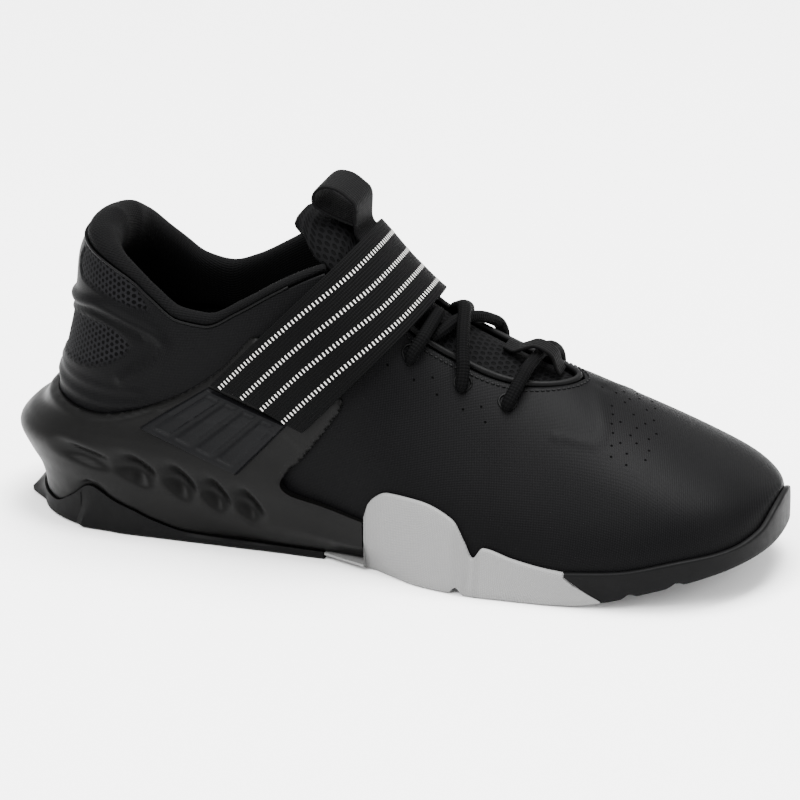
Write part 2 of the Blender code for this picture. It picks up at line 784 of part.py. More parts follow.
def make_outsole_forefoot():
    # Behind its start it goes on as a flat tread under the clip's front, to the heel rubber.
    start = place(CLIP_END) + CLEARANCE * 3
    rear = place(HEEL_RUBBER_END) + CLEARANCE

    def columns_of(side, station):
        x = section_x(station)
        if x >= start - CLEARANCE / 2:
            return sole_column(side, x, FOREFOOT_WRAP)
        front = sole_column(side, start, FOREFOOT_WRAP)
        heel_edge = heel_outline(side, rear - HEEL_X)[1]
        widths = [point[1] for point in front]
        wide, bed = widths[5], widths[9]
        widths[6:10] = [mix(wide, bed, k / 4) for k in range(1, 5)]
        narrowing = mix(heel_edge / wide, 1.0, (x - rear) / (start - rear))
        top = RUBBER_THICKNESS - CLEARANCE
        heights = [0.0, 0.0, 0.3, 0.7, 0.85] + [1.0] * 6
        return [np.array([x, y * narrowing, top * z]) for y, z in zip(widths, heights)]

    shares = [share(rear), 0.46, 0.48, share(start) - CLEARANCE / LENGTH]
    shares += [share(start), 0.510, 0.520, 0.540, 0.562, 0.580, 0.600, 0.620]
    shares += [0.632, 0.640, 0.650, 0.662, 0.680, 0.705, 0.735, RUBBER_JOINT]
    stations = [station_at(at) for at in shares]
    half_section_part("outsole_forefoot", columns_of, stations, (0.46, 0.46, 0.455), 0.6)


def make_outsole_toe():
    def columns_of(side, station):
        return sole_column(side, section_x(station), TOE_WRAP)

    shares = [RUBBER_JOINT + CLEARANCE * 2 / LENGTH, 0.790, 0.815, 0.835, 0.850, 0.870, 0.890]
    shares += [0.904, 0.925, 0.945, 0.962, 0.975, 0.984, 0.9895, TOE_TIP]
    stations = [station_at(at) for at in shares]
    half_section_part("outsole_toe", columns_of, stations, (0.012, 0.012, 0.012), 0.6)


def make_insole():
    # Lies on the footbed, inside the upper's wall, and keeps a little further off at the toe.
    def columns_of(side, station):
        x = section_x(station)
        toe = ease((share(x) - TOE_START) / (TOE_TIP - TOE_START))
        inset = UPPER_WALL + CLEARANCE * 2 + INSOLE_THICKNESS * 0.6 * toe
        bed = footbed_height(x) + CLEARANCE
        rims = {each: offset_point(each, station, 0.0, -inset) for each in (OUTER, INNER)}
        rim = rims[side]
        rim[2] = bed
        shoulder = flank_point(side, station, bed + INSOLE_THICKNESS, -inset)
        shoulder[2] = bed + INSOLE_THICKNESS
        centre = middle_point(station, bed, rim)
        if station > 0:
            centre[0] = min(rims[OUTER][0], rims[INNER][0])
        return [centre, rim, shoulder, centre + np.array([0.0, 0.0, INSOLE_THICKNESS])]

    span = TOE_START - HEEL_MIDDLE
    shares = [HEEL_MIDDLE + span * k / 14 for k in range(15)] + VAMP_SHARES[2:]
    stations = FAN_STATIONS + [station_at(at) for at in shares]
    half_section_part("insole", columns_of, stations, (0.02, 0.02, 0.022), 0.9)


def middle_point(station, z, edge):
    # The middle of a half section. At the toe's tip both sides end in the same point.
    if station >= station_at(TOE_TIP) - CLEARANCE / 10:
        return np.array([edge[0], edge[1], z])
    return np.array([section_x(station), 0.0, z])


def make_collar_lining():
    # The padded collar: it lines the upper's top and rolls over its edge. Each profile is a ring.
    inside = -(UPPER_WALL + CLEARANCE)

    def ring(side, station):
        at = perimeter_share(station)
        edge = collar_edge(side, station)
        roll = COLLAR_HEIGHT * smooth_column(COLLAR, "roll", at)
        padding = LINING_THICKNESS * smooth_column(COLLAR, "padding", at)
        bottom = COLLAR_HEIGHT * mix(LINING_BOTTOM, 0.80, ease((at - 0.30) / 0.12))
        lip = edge + UPPER_WALL * 0.25
        profile = [
            (bottom, inside),
            (mix(bottom, edge, 0.5), inside),
            (edge, inside),
            (lip, inside * 0.9),
            (lip + roll * 0.12, -CLEARANCE),
            (lip + roll * 0.50, -CLEARANCE),
            (lip + roll * 0.88, inside * 0.4 - padding * 0.18),
            (lip + roll, inside * 0.5 - padding * 0.5),
            (lip + roll * 0.78, inside - padding * 0.82),
            (edge, inside - padding),
            (mix(bottom, edge, 0.5), inside - LINING_THICKNESS * 0.7),
            (bottom, inside - LINING_THICKNESS * 0.35),
        ]
        return [flank_point(side, station, z, offset) for z, offset in profile]

    stations = FAN_STATIONS + [station_at(at) for at in SIDE_SHARES]
    outer = [ring(OUTER, station) for station in stations]
    inner = [ring(INNER, station) for station in stations]
    rings = outer[::-1] + inner[1:]
    mesh = bmesh.new()
    rows = [[mesh.verts.new(point) for point in ring_points] for ring_points in rings]
    for left, right in zip(rows[:-1], rows[1:]):
        join_columns(mesh, left + left[:1], right + right[:1])
    mesh.faces.new(rows[0])
    mesh.faces.new(rows[-1])
    add_part("collar_lining", mesh, (0.018, 0.018, 0.02), 0.9)


def ridge_band(turns_of, shares, offset, rows):
    # A grid over the instep: for each place along the shoe a row from the outer to the inner side.
    columns = []
    for at in shares:
        station = station_at(at)
        outer_turn, inner_turn = turns_of(at)
        line = []
        for k in range(rows):
            line.append(offset_point(OUTER, station, mix(outer_turn, 1.0, k / rows), offset))
        line.append(offset_point(OUTER, station, 1.0, offset))
        for k in range(1, rows + 1):
            line.append(offset_point(INNER, station, mix(1.0, inner_turn, k / rows), offset))
        columns.append(line)
    return columns


def turn_at_half(side, x, half):
    # Where the section is this far from its ridge, measured sideways.
    shift, span, low, height, power = arch(side, x)
    part = min(half / max(span, 1e-6), 1.0)
    return math.acos(part ** (1 / power)) * 2 / math.pi


def make_tongue():
    # A padded sheet under the throat, wider than the throat and tucked under the vamp.
    def turns_of(at):
        x = place(at)
        reach = 1 - ease((at - COLLAR_CORNER - 0.012) / 0.035)
        halves = []
        for side in (OUTER, INNER):
            under = max(throat_half(side, x), 0.010) + TONGUE_MARGIN
            halves.append(mix(under, TONGUE_TOP_WIDTH / 2, reach))
        return [turn_at_half(side, x, half) for side, half in zip((OUTER, INNER), halves)]

    shares = [TONGUE_TOP, 0.438, 0.448, 0.460, 0.475, 0.495, 0.52, 0.55]
    shares += [0.58, 0.61, 0.64, 0.67, 0.70, 0.725, 0.745]
    depth = -(UPPER_WALL + CLEARANCE * 1.8)
    mesh = grid_mesh([ridge_band(turns_of, shares, depth, 5)])
    tongue = add_part("tongue", mesh, (0.016, 0.016, 0.018), 0.85)
    face_up(tongue, (0.0, 0.0, 1.0))
    thicken(tongue, TONGUE_THICKNESS, -1)


def smooth_path(points, per_span):
    # A smooth curve through a route's points.
    points = [np.array(point) for point in points]
    padded = [2 * points[0] - points[1]] + points + [2 * points[-1] - points[-2]]
    path = []
    for a, b, c, d in zip(padded, padded[1:], padded[2:], padded[3:]):
        for k in range(per_span):
            t = k / per_span
            square = 2 * a - 5 * b + 4 * c - d
            cube = 3 * b - a - 3 * c + d
            path.append((2 * b + (c - a) * t + square * t * t + cube * t ** 3) / 2)
    path.append(points[-1])
    return path


def make_tube(name, route, radius, per_span, colour, roughness):
    curve = bpy.data.curves.new(name, "CURVE")
    curve.dimensions = "3D"
    curve.bevel_depth = radius
    curve.bevel_resolution = 1
    curve.use_fill_caps = True
    spline = curve.splines.new("POLY")
    path = smooth_path(route, per_span)
    spline.points.add(len(path) - 1)
    for point, where in zip(spline.points, path):
        point.co = (*where, 1.0)
    outline = bpy.data.objects.new(name + "_route", curve)
    bpy.data.collections["cutters"].objects.link(outline)
    tube = meshed(outline, name, "weightlifting_shoe")
    give_finish(tube, colour, roughness)
    return tube


def instep_point(side, at, half, offset):
    # A point over the instep, given by its distance from the ridge.
    x = place(at)
    return offset_point(side, station_at(at), turn_at_half(side, x, half), offset)


def make_throat_binding():
    # The rounded edge of the throat: down the outer side, around the front, up the inner side.
    inset = BINDING_RADIUS + CLEARANCE * 1.8
    depth = -UPPER_WALL * 0.40
    front = THROAT_FRONT - inset / LENGTH
    straight = [0.462, 0.49, 0.52, 0.55, 0.585]
    route = [instep_point(OUTER, at, throat_half(OUTER, place(at)) - inset, depth) for at in straight]
    for side, angles in ((OUTER, range(6)), (INNER, range(4, -1, -1))):
        widest = (THROAT_OUTER if side == OUTER else THROAT_INNER) - inset
        for k in angles:
            angle = k / 5 * math.pi / 2
            at = THROAT_TURN + (front - THROAT_TURN) * math.sin(angle)
            route.append(instep_point(side, at, widest * math.cos(angle), depth))
    route += [instep_point(INNER, at, throat_half(INNER, place(at)) - inset, depth) for at in straight[::-1]]
    make_tube("throat_binding", route, BINDING_RADIUS, 1, (0.02, 0.02, 0.02), 0.6)


Strand = namedtuple("Strand", "side along half offset")
# Lace routes over the instep. along: share of LENGTH. half: distance from the ridge as a share of
# the throat's half width. offset: height above the upper's face as a multiple of LACE_RADIUS.
FRONT_BAR = [
    Strand(OUTER, 0.664, 1.36, 1.22),
    Strand(OUTER, 0.667, 1.12, 1.45),
    Strand(OUTER, 0.670, 0.86, 1.48),
    Strand(OUTER, 0.672, 0.66, 1.42),
    Strand(OUTER, 0.675, 0.35, 0.70),
    Strand(INNER, 0.677, 0.02, 0.35),
    Strand(INNER, 0.679, 0.32, 0.80),
    Strand(INNER, 0.680, 0.56, 1.46),
    Strand(INNER, 0.682, 0.84, 1.50),
    Strand(INNER, 0.684, 1.15, 1.45),
    Strand(INNER, 0.686, 1.40, 1.22),
]
CROSS_OVER = [
    Strand(OUTER, 0.604, 1.36, 1.22),
    Strand(OUTER, 0.601, 1.14, 1.50),
    Strand(OUTER, 0.597, 0.95, 1.52),
    Strand(OUTER, 0.588, 0.50, 1.45),
    Strand(INNER, 0.577, 0.10, 1.35),
    Strand(INNER, 0.566, 0.52, 0.30),
]
CROSS_UNDER = [
    Strand(INNER, 0.612, 1.42, 1.22),
    Strand(INNER, 0.609, 1.18, 1.50),
    Strand(INNER, 0.604, 0.95, 1.50),
    Strand(INNER, 0.594, 0.45, 0.70),
    Strand(OUTER, 0.580, 0.10, 0.25),
    Strand(OUTER, 0.566, 0.62, 0.22),
]
OUTER_STUB = [
    Strand(OUTER, 0.541, 1.34, 1.22),
    Strand(OUTER, 0.545, 1.12, 1.45),
    Strand(OUTER, 0.548, 0.92, 1.45),
    Strand(OUTER, 0.554, 0.45, 0.95),
]
INNER_STUB = [
    Strand(INNER, 0.566, 1.42, 1.22),
    Strand(INNER, 0.567, 1.18, 1.45),
    Strand(INNER, 0.568, 0.95, 1.45),
    Strand(INNER, 0.569, 0.75, 1.20),
]


def lace_route(strands):
    route = []
    for strand in strands:
        widest = THROAT_OUTER if strand.side == OUTER else THROAT_INNER
        point = instep_point(strand.side, strand.along, widest * strand.half, LACE_RADIUS * strand.offset)
        route.append(point)
    return route


def make_laces():
    finish = ((0.02, 0.02, 0.022), 0.85)
    make_tube("lace_front_bar", lace_route(FRONT_BAR), LACE_RADIUS, 3, *finish)
    make_tube("lace_top_outer", lace_route(OUTER_STUB), LACE_RADIUS, 3, *finish)
    make_tube("lace_top_inner", lace_route(INNER_STUB), LACE_RADIUS, 3, *finish)
    over = make_tube("lace_crossing", lace_route(CROSS_OVER), LACE_RADIUS, 3, *finish)
    under = make_tube("lace_crossing_under", lace_route(CROSS_UNDER), LACE_RADIUS, 3, *finish)
    bpy.data.collections["weightlifting_shoe"].objects.unlink(under)
    bpy.data.collections["cutters"].objects.link(under)
    under.hide_render = True
    under.display_type = "WIRE"
    joined = over.modifiers.new("crossing", "BOOLEAN")
    joined.operation = "UNION"
    joined.object = under


def make_strap():
    # A band around the instep between two parallel slanted planes, from wing to wing.
    across = 6
    around = 12
    over_binding = BINDING_RADIUS * 0.4 + CLEARANCE * 1.5
    over_wing = WING_THICKNESS + CLEARANCE * 3
    slope = math.radians(STRAP_SLOPE)
    centre = offset_point(OUTER, station_at(STRAP_RIDGE), 1.0, over_binding)

    def end_turn(side, t):
        # The band ends a little above the upper edge of its end pad.
        along = mix(TAB[0].along, TAB[1].along, t)
        height = COLLAR_HEIGHT * mix(TAB[0].height, TAB[1].height, t) + TAB_GAP
        return turn_at_height(side, station_at(along), height)

    def on_surface(side, station, turn):
        height = surface_point(side, station, turn)[2] / COLLAR_HEIGHT
        return offset_point(side, station, turn, mix(over_wing, over_binding, ease((height - 0.76) / 0.10)))

    def on_plane(side, turn, away):
        # Bisects for the place along the shoe where the surface meets the plane.
        low, high = station_at(0.200), station_at(0.640)
        for _ in range(30):
            middle = (low + high) / 2
            point = on_surface(side, middle, turn)
            aside = (point[2] - centre[2]) * math.cos(slope) - (point[0] - centre[0]) * math.sin(slope)
            low, high = (middle, high) if aside > away else (low, middle)
        return point

    columns = []
    for k in range(across + 1):
        t = k / across
        away = STRAP_WIDTH * (0.5 - t)
        turns = {side: [mix(end_turn(side, t), 1.0, n / around) for n in range(around + 1)]
                 for side in (OUTER, INNER)}
        line = [on_plane(OUTER, turn, away) for turn in turns[OUTER]]
        line += [on_plane(INNER, turn, away) for turn in turns[INNER][-2::-1]]
        columns.append(line)
    strap = add_part("strap", grid_mesh([columns]), (0.012, 0.012, 0.013), 0.8)
    face_up(strap, (0.0, 0.0, 1.0))
    thicken(strap, STRAP_THICKNESS, 1)


def swell_at(side, station, z):
    # How far the heel clip stands out beyond the upper at a height.
    rows = [flank_row(row, side, station) for row in FLANKS]
    heights = [row[2] for row in rows]
    base = [flank_point(side, station, row[2], 0.0) for row in rows]
    swells = [np.linalg.norm((row - foot)[:2]) for row, foot in zip(rows, base)]
    if z >= heights[-1]:
        return WING_THICKNESS + CLEARANCE
    return float(np.interp(z, heights, swells))


def make_strap_tabs():
    # The moulded pads at the strap's ends, lying on the clip below the wings.
    for name, side in (("strap_tab_outer", OUTER), ("strap_tab_inner", INNER)):
        columns = []
        for k in range(7):
            line = []
            for n in range(6):
                upper = mix(np.array(TAB[0]), np.array(TAB[1]), k / 6)
                lower = mix(np.array(TAB[3]), np.array(TAB[2]), k / 6)
                along, height = mix(upper, lower, n / 5)
                station = station_at(along)
                z = COLLAR_HEIGHT * height
                line.append(flank_point(side, station, z, swell_at(side, station, z) + CLEARANCE * 2.2))
            columns.append(line)
        tab = add_part(name, grid_mesh([columns]), (0.016, 0.016, 0.018), 0.6)
        face_up(tab, (0.0, side, 0.0))
        thicken(tab, TAB_THICKNESS, 1)


def ribbon(name, path, width, colour, roughness, per_span):
    # A flat band that follows a route in the shoe's middle plane.
    line = smooth_path(path, per_span)
    columns = [[point + np.array([0.0, width * t, 0.0]) for point in line] for t in (-0.5, 0.0, 0.5)]
    part = add_part(name, grid_mesh([columns]), colour, roughness)
    thicken(part, RIBBON_THICKNESS, 0)


LoopPoint = namedtuple("LoopPoint", "forward up")
# The pull loop's route from the tongue's top edge, shares of LOOP_HEIGHT.
LOOP = [
    LoopPoint(0.66, 0.06),
    LoopPoint(0.34, 0.54),
    LoopPoint(-0.06, 0.80),
    LoopPoint(-0.42, 0.78),
    LoopPoint(-0.60, 0.52),
    LoopPoint(-0.52, 0.24),
    LoopPoint(-0.20, 0.08),
]


def make_pull_loop():
    seat = -(UPPER_WALL - RIBBON_THICKNESS * 0.5 - CLEARANCE)
    top = offset_point(OUTER, station_at(TONGUE_TOP), 1.0, -UPPER_WALL)
    path = [offset_point(OUTER, station_at(at), 1.0, seat) for at in (0.462, 0.448)]
    path += [top + LOOP_HEIGHT * np.array([row.forward, 0.0, row.up]) for row in LOOP]
    shift = path[0][1]
    path = [np.array([point[0], shift, point[2]]) for point in path]
    ribbon("pull_loop", path, LOOP_WIDTH, (0.016, 0.016, 0.017), 0.8, 2)


KeeperPoint = namedtuple("KeeperPoint", "along offset")
# The lace keeper's route over the front bar. offset: multiples of LACE_RADIUS.
KEEPER = [
    KeeperPoint(0.638, -0.55),
    KeeperPoint(0.650, -0.40),
    KeeperPoint(0.659, 0.70),
    KeeperPoint(0.669, 1.95),
    KeeperPoint(0.682, 2.15),
    KeeperPoint(0.694, 1.70),
    KeeperPoint(0.703, 0.30),
    KeeperPoint(0.710, -0.50),
]


def make_lace_keeper():
    path = [offset_point(OUTER, station_at(row.along), 1.0, LACE_RADIUS * row.offset) for row in KEEPER]
    shift = path[3][1]
    path = [np.array([point[0], shift, point[2]]) for point in path]
    ribbon("lace_keeper", path, KEEPER_WIDTH, (0.016, 0.016, 0.017), 0.8, 2)


def start_scene():
    for thing in list(bpy.data.objects):
        bpy.data.objects.remove(thing)
    for name in ("weightlifting_shoe", "cutters"):
        collection = bpy.data.collections.new(name)
        bpy.context.scene.collection.children.link(collection)


def build():
    start_scene()
    make_upper()
    make_midsole()
    make_outsole_heel()
    make_outsole_forefoot()
    make_outsole_toe()
    make_insole()
    make_collar_lining()
    make_tongue()
    make_throat_binding()
    make_laces()
    make_strap()
    make_strap_tabs()
    make_pull_loop()
    make_lace_keeper()


build()
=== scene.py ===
import math
import bmesh
import bpy
import numpy as np
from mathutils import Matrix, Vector


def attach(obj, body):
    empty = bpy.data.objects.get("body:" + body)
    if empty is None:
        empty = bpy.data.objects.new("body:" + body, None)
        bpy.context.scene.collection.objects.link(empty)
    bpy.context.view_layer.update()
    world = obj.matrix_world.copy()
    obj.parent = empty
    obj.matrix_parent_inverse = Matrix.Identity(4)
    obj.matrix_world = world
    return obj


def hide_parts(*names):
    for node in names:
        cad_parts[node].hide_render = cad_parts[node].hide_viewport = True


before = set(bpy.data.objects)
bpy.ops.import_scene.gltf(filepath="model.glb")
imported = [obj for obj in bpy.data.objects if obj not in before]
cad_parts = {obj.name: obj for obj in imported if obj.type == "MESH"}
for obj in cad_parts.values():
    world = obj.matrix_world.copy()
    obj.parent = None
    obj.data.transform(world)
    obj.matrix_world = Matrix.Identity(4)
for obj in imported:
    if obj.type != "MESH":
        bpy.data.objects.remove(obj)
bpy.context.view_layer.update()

print("frame loaded")


def linked(name, data):
    # a fresh object, put in the scene
    fresh = bpy.data.objects.new(name, data)
    bpy.context.scene.collection.objects.link(fresh)
    return fresh


# the camera stands where the photograph's did
view = dict(turn=17.0, rise=21.5, away=1.8, target=(0.1011, 0.0, 0.0520), lens=215.2, sensor=36.0, far=50.0)
turn, rise = math.radians(view["turn"]), math.radians(view["rise"])
back = Vector((math.sin(turn) * math.cos(rise), -math.cos(turn) * math.cos(rise), math.sin(rise)))
camera = linked("camera", bpy.data.cameras.new("camera"))
camera.location = Vector(view["target"]) + back * view["away"]
camera.rotation_euler = (-back).to_track_quat("-Z", "Y").to_euler()
camera.data.lens = view["lens"]
camera.data.sensor_width = view["sensor"]
camera.data.clip_end = view["far"]
bpy.context.scene.camera = camera

# the last: the shape that every piece follows, with the same numbers as the solids
shoe = dict(length=0.300, heelReach=0.050, ballWidth=0.104, heelWidth=0.070, instep=0.116, collar=0.112,
            heelLift=0.028, ballLift=0.011, toeSpring=0.0167, heelFan=0.058, gap=0.0003, wall=0.0022,
            rubber=0.0032, soleWrap=0.0019, wing=0.0026, heelMiddle=0.193, throatOuter=0.020,
            throatInner=0.015, collarCorner=0.440, throatTurn=0.615, throatFront=0.737, toeStart=0.800,
            toeTip=0.992, clipEnd=0.500)

lastSections = dict(
    along=[0.190, 0.270, 0.350, 0.420, 0.470, 0.505, 0.545, 0.600, 0.665, 0.740, 0.820, 0.890, 0.940, 0.975,
           0.992],
    outer=[0.500, 0.490, 0.470, 0.445, 0.432, 0.435, 0.450, 0.480, 0.500, 0.500, 0.485, 0.468, 0.460, 0.455,
           0.455],
    inner=[0.490, 0.475, 0.415, 0.360, 0.340, 0.350, 0.385, 0.440, 0.470, 0.477, 0.472, 0.462, 0.455, 0.450,
           0.450],
    ridge=[1.300, 1.290, 1.240, 1.120, 1.008, 0.902, 0.796, 0.722, 0.645, 0.571, 0.481, 0.407, 0.354, 0.308,
           0.284],
    shift=[0.000, 0.000, 0.010, 0.012, 0.015, 0.020, 0.030, 0.042, 0.050, 0.060, 0.065, 0.055, 0.048, 0.042,
           0.038],
    fullness=[0.74, 0.72, 0.70, 0.76, 0.88, 0.98, 1.10, 1.22, 1.24, 1.14, 1.00, 0.88, 0.80, 0.74, 0.72])
footbed = dict(
    along=[0.000, 0.250, 0.350, 0.450, 0.540, 0.640, 0.740, 0.820, 0.900, 0.960, 1.000],
    lift=[1.00, 1.00, 0.86, 0.52, 0.20, 0.02, 0.00, 0.00, 0.00, 0.00, 0.00],
    spring=[0.00, 0.00, 0.00, 0.00, 0.00, 0.00, 0.00, 0.10, 0.36, 0.54, 0.62])
underside = dict(along=[0.730, 0.775, 0.815, 0.860, 0.905, 0.950, 1.000],
                 rise=[0.00, 0.03, 0.15, 0.37, 0.58, 0.77, 1.00])
heelCurve = dict(along=[0.00, 0.38, 0.48, 0.58, 0.69, 0.80, 0.91, 0.99, 1.07],
                 reach=[0.590, 0.592, 0.572, 0.543, 0.502, 0.468, 0.450, 0.405, 0.340])
collarEdges = dict(
    along=[0.000, 0.070, 0.130, 0.180, 0.215, 0.250, 0.285, 0.330, 0.375, 0.415, 0.440],
    outer=[0.985, 0.975, 0.950, 0.905, 0.835, 0.775, 0.768, 0.830, 0.905, 0.960, 0.985],
    inner=[0.985, 0.975, 0.930, 0.850, 0.785, 0.765, 0.795, 0.865, 0.945, 0.985, 0.995],
    roll=[0.080, 0.076, 0.062, 0.048, 0.042, 0.042, 0.042, 0.042, 0.040, 0.036, 0.030],
    padding=[2.60, 2.40, 1.80, 1.30, 1.10, 1.00, 1.00, 1.00, 1.00, 1.00, 1.00])


def mix(a, b, t):
    return a + (b - a) * t


def ease(t):
    t = np.clip(t, 0.0, 1.0)
    return t * t * (3 - 2 * t)


def unit(vectors):
    return vectors / np.maximum(np.linalg.norm(vectors, axis=-1, keepdims=True), 1e-12)


def runAlong(path):
    # how far along a path each of its points lies
    return np.concatenate([[0], np.cumsum(np.linalg.norm(np.diff(path, axis=0), axis=1))])


def sample(values, run, mark):
    # a path's value at a distance along it
    return np.array([np.interp(mark, run, values[:, k]) for k in range(3)])


def column(table, name, at):
    # smooth curve through a table's column that never overshoots it
    places, values = np.array(table["along"]), np.array(table[name])
    steps = np.diff(places)
    slopes = np.diff(values) / steps
    product = slopes[:-1] * slopes[1:]
    total = np.where(product > 0, slopes[:-1] + slopes[1:], 1.0)
    inside = np.where(product > 0, 2 * product / total, 0.0)
    tangents = np.concatenate([slopes[:1], inside, slopes[-1:]])
    at = np.clip(np.asarray(at, float), places[0], places[-1])
    k = np.clip(np.searchsorted(places, at, side="right") - 1, 0, len(steps) - 1)
    t = (at - places[k]) / steps[k]
    rise = values[k + 1] - values[k]
    leave, arrive = tangents[k] * steps[k], tangents[k + 1] * steps[k]
    square, cube = 3 * rise - 2 * leave - arrive, leave + arrive - 2 * rise
    return values[k] + t * leave + t * t * square + t ** 3 * cube


def place(along):
    return along * shoe["length"] - shoe["heelReach"]


def share(x):
    return (x + shoe["heelReach"]) / shoe["length"]


heelX = place(shoe["heelMiddle"])
tipStation = place(shoe["toeTip"]) - heelX


def stationAt(along):
    return place(along) - heelX


def sectionX(station):
    return heelX + np.maximum(station, 0.0)


def perimeter(station):
    behind = shoe["heelMiddle"] * (1 + np.asarray(station) / shoe["heelFan"])
    return np.where(np.asarray(station) < 0, behind, share(sectionX(station)))


def bedHeight(x):
    lift, spring = column(footbed, "lift", share(x)), column(footbed, "spring", share(x))
    return shoe["ballLift"] + (shoe["heelLift"] - shoe["ballLift"]) * lift + shoe["toeSpring"] * spring


def widthAt(x):
    return mix(shoe["heelWidth"], shoe["ballWidth"], ease((share(x) - shoe["heelMiddle"]) / 0.42))


def toeClosing(x):
    start, tip = place(shoe["toeStart"]), place(shoe["toeTip"])
    reach = np.clip((x - start) / (tip - start), 0.0, 1.0)
    return (1 - reach ** 2.4) ** (1 / 2.4)


def section(side, station):
    # ridge shift, half span, lower edge, height and fullness of the arch at a station
    x = sectionX(station)
    at = share(x)
    shift = shoe["ballWidth"] * column(lastSections, "shift", at)
    half = widthAt(x) * column(lastSections, "outer" if side < 0 else "inner", at)
    span = (half - side * shift) * toeClosing(x)
    low = bedHeight(x) + shoe["gap"]
    height = shoe["instep"] * column(lastSections, "ridge", at) - low
    power = column(lastSections, "fullness", at)
    if side > 0:
        power = power * mix(1.0, 0.90, ease((at - 0.25) / 0.15) * ease((0.95 - at) / 0.15))
    return shift, span, low, height, power


def surface(side, station, turn):
    # the upper's outer face: turn 0 at the sole's edge, 1 on the ridge
    station, turn = np.broadcast_arrays(np.asarray(station, float), np.asarray(turn, float))
    shift, span, low, height, power = section(side, station)
    angle = np.clip(turn, 0.0, 1.0) * math.pi / 2
    out = np.maximum(np.cos(angle), 0.0) ** power
    z = low + height * np.sin(angle) ** power
    around = np.clip(-station / shoe["heelFan"], 0.0, 1.0) * math.pi / 2
    reach = shoe["heelWidth"] * column(heelCurve, "reach", z / shoe["collar"])
    sideways = np.maximum(np.cos(around), 0.0) ** 0.9
    x = np.where(station >= 0, sectionX(station), heelX - reach * np.sin(around) ** 0.9)
    y = (shift + side * span * out) * np.where(station >= 0, 1.0, sideways)
    return np.stack([x, y, z], -1)


def turnAtHeight(side, station, z):
    shift, span, low, height, power = section(side, station)
    return np.arcsin(np.clip((z - low) / height, 0.0, 1.0) ** (1 / power)) * 2 / math.pi


def turnAtHalf(side, station, half):
    shift, span, low, height, power = section(side, station)
    return np.arccos(np.clip(half / np.maximum(span, 1e-6), 0.0, 1.0) ** (1 / power)) * 2 / math.pi


def skin(side, station, turn, offset=0.0):
    # a point at a distance from the upper's outer face
    station, turn = np.broadcast_arrays(np.asarray(station, float), np.asarray(turn, float))
    step = 0.0006
    ahead = surface(side, np.minimum(station + step, tipStation), turn)
    behind = surface(side, np.maximum(station - step, -shoe["heelFan"]), turn)
    above = surface(side, station, np.minimum(turn + 0.01, 1.0))
    below = surface(side, station, np.maximum(turn - 0.01, 0.0))
    normal = np.cross(above - below, ahead - behind) * side
    flat = (station <= step / 10 - shoe["heelFan"]) | (turn >= 1.0) | (station >= tipStation)
    normal[..., 1] = np.where(flat, 0.0, normal[..., 1])
    return surface(side, station, turn) + unit(normal) * np.asarray(offset)[..., None]


def flank(side, station, z, offset=0.0):
    # the same at a height, straight down below the sole's edge
    station, z, offset = np.broadcast_arrays(*(np.asarray(value, float) for value in (station, z, offset)))
    point = skin(side, station, turnAtHeight(side, station, z), offset)
    low = bedHeight(sectionX(station)) + shoe["gap"]
    point[..., 2] = np.where(z < low, z, point[..., 2])
    return point


def standing(side, station, turn):
    # a point of the upper's face, with directions ahead, across and up from it
    centre = skin(side, station, turn, 0.0)
    up = unit(skin(side, station, turn, 0.001) - centre)
    across = unit(np.cross(up, [1.0, 0.0, 0.0]))
    return centre, np.cross(across, up), across, up


def roundHeel(fan, ahead):
    # stations in a fan behind the heel's middle, then along the side
    return np.concatenate([np.linspace(-shoe["heelFan"], 0.0, fan, endpoint=False), ahead])


def widestThroat(side):
    return shoe["throatOuter"] if side < 0 else shoe["throatInner"]


def throatHalf(side, station):
    at = share(sectionX(station))
    reach = np.clip((at - shoe["throatTurn"]) / (shoe["throatFront"] - shoe["throatTurn"]), 0.0, 1.0)
    rear = 1 + 0.45 * ease((0.52 - at) / (0.52 - shoe["collarCorner"]))
    return widestThroat(side) * np.where(at > shoe["throatTurn"], np.sqrt(1 - reach * reach), rear)


def collarHeight(side, station):
    return shoe["collar"] * column(collarEdges, "outer" if side < 0 else "inner", perimeter(station))


def edgeTurn(side, station):
    atCollar = turnAtHeight(side, station, collarHeight(side, station))
    atThroat = turnAtHalf(side, station, throatHalf(side, station))
    return np.where(share(sectionX(station)) < shoe["collarCorner"] - 0.001, atCollar, atThroat)


def indices(mesh, across, along):
    # where each corner of a fresh grid lies, as whole steps
    spots = np.array([vert.co[:2] for vert in mesh.verts])
    steps = np.rint((spots + 1) / 2 * np.array([across, along])).astype(int)
    return steps[:, 0], steps[:, 1]


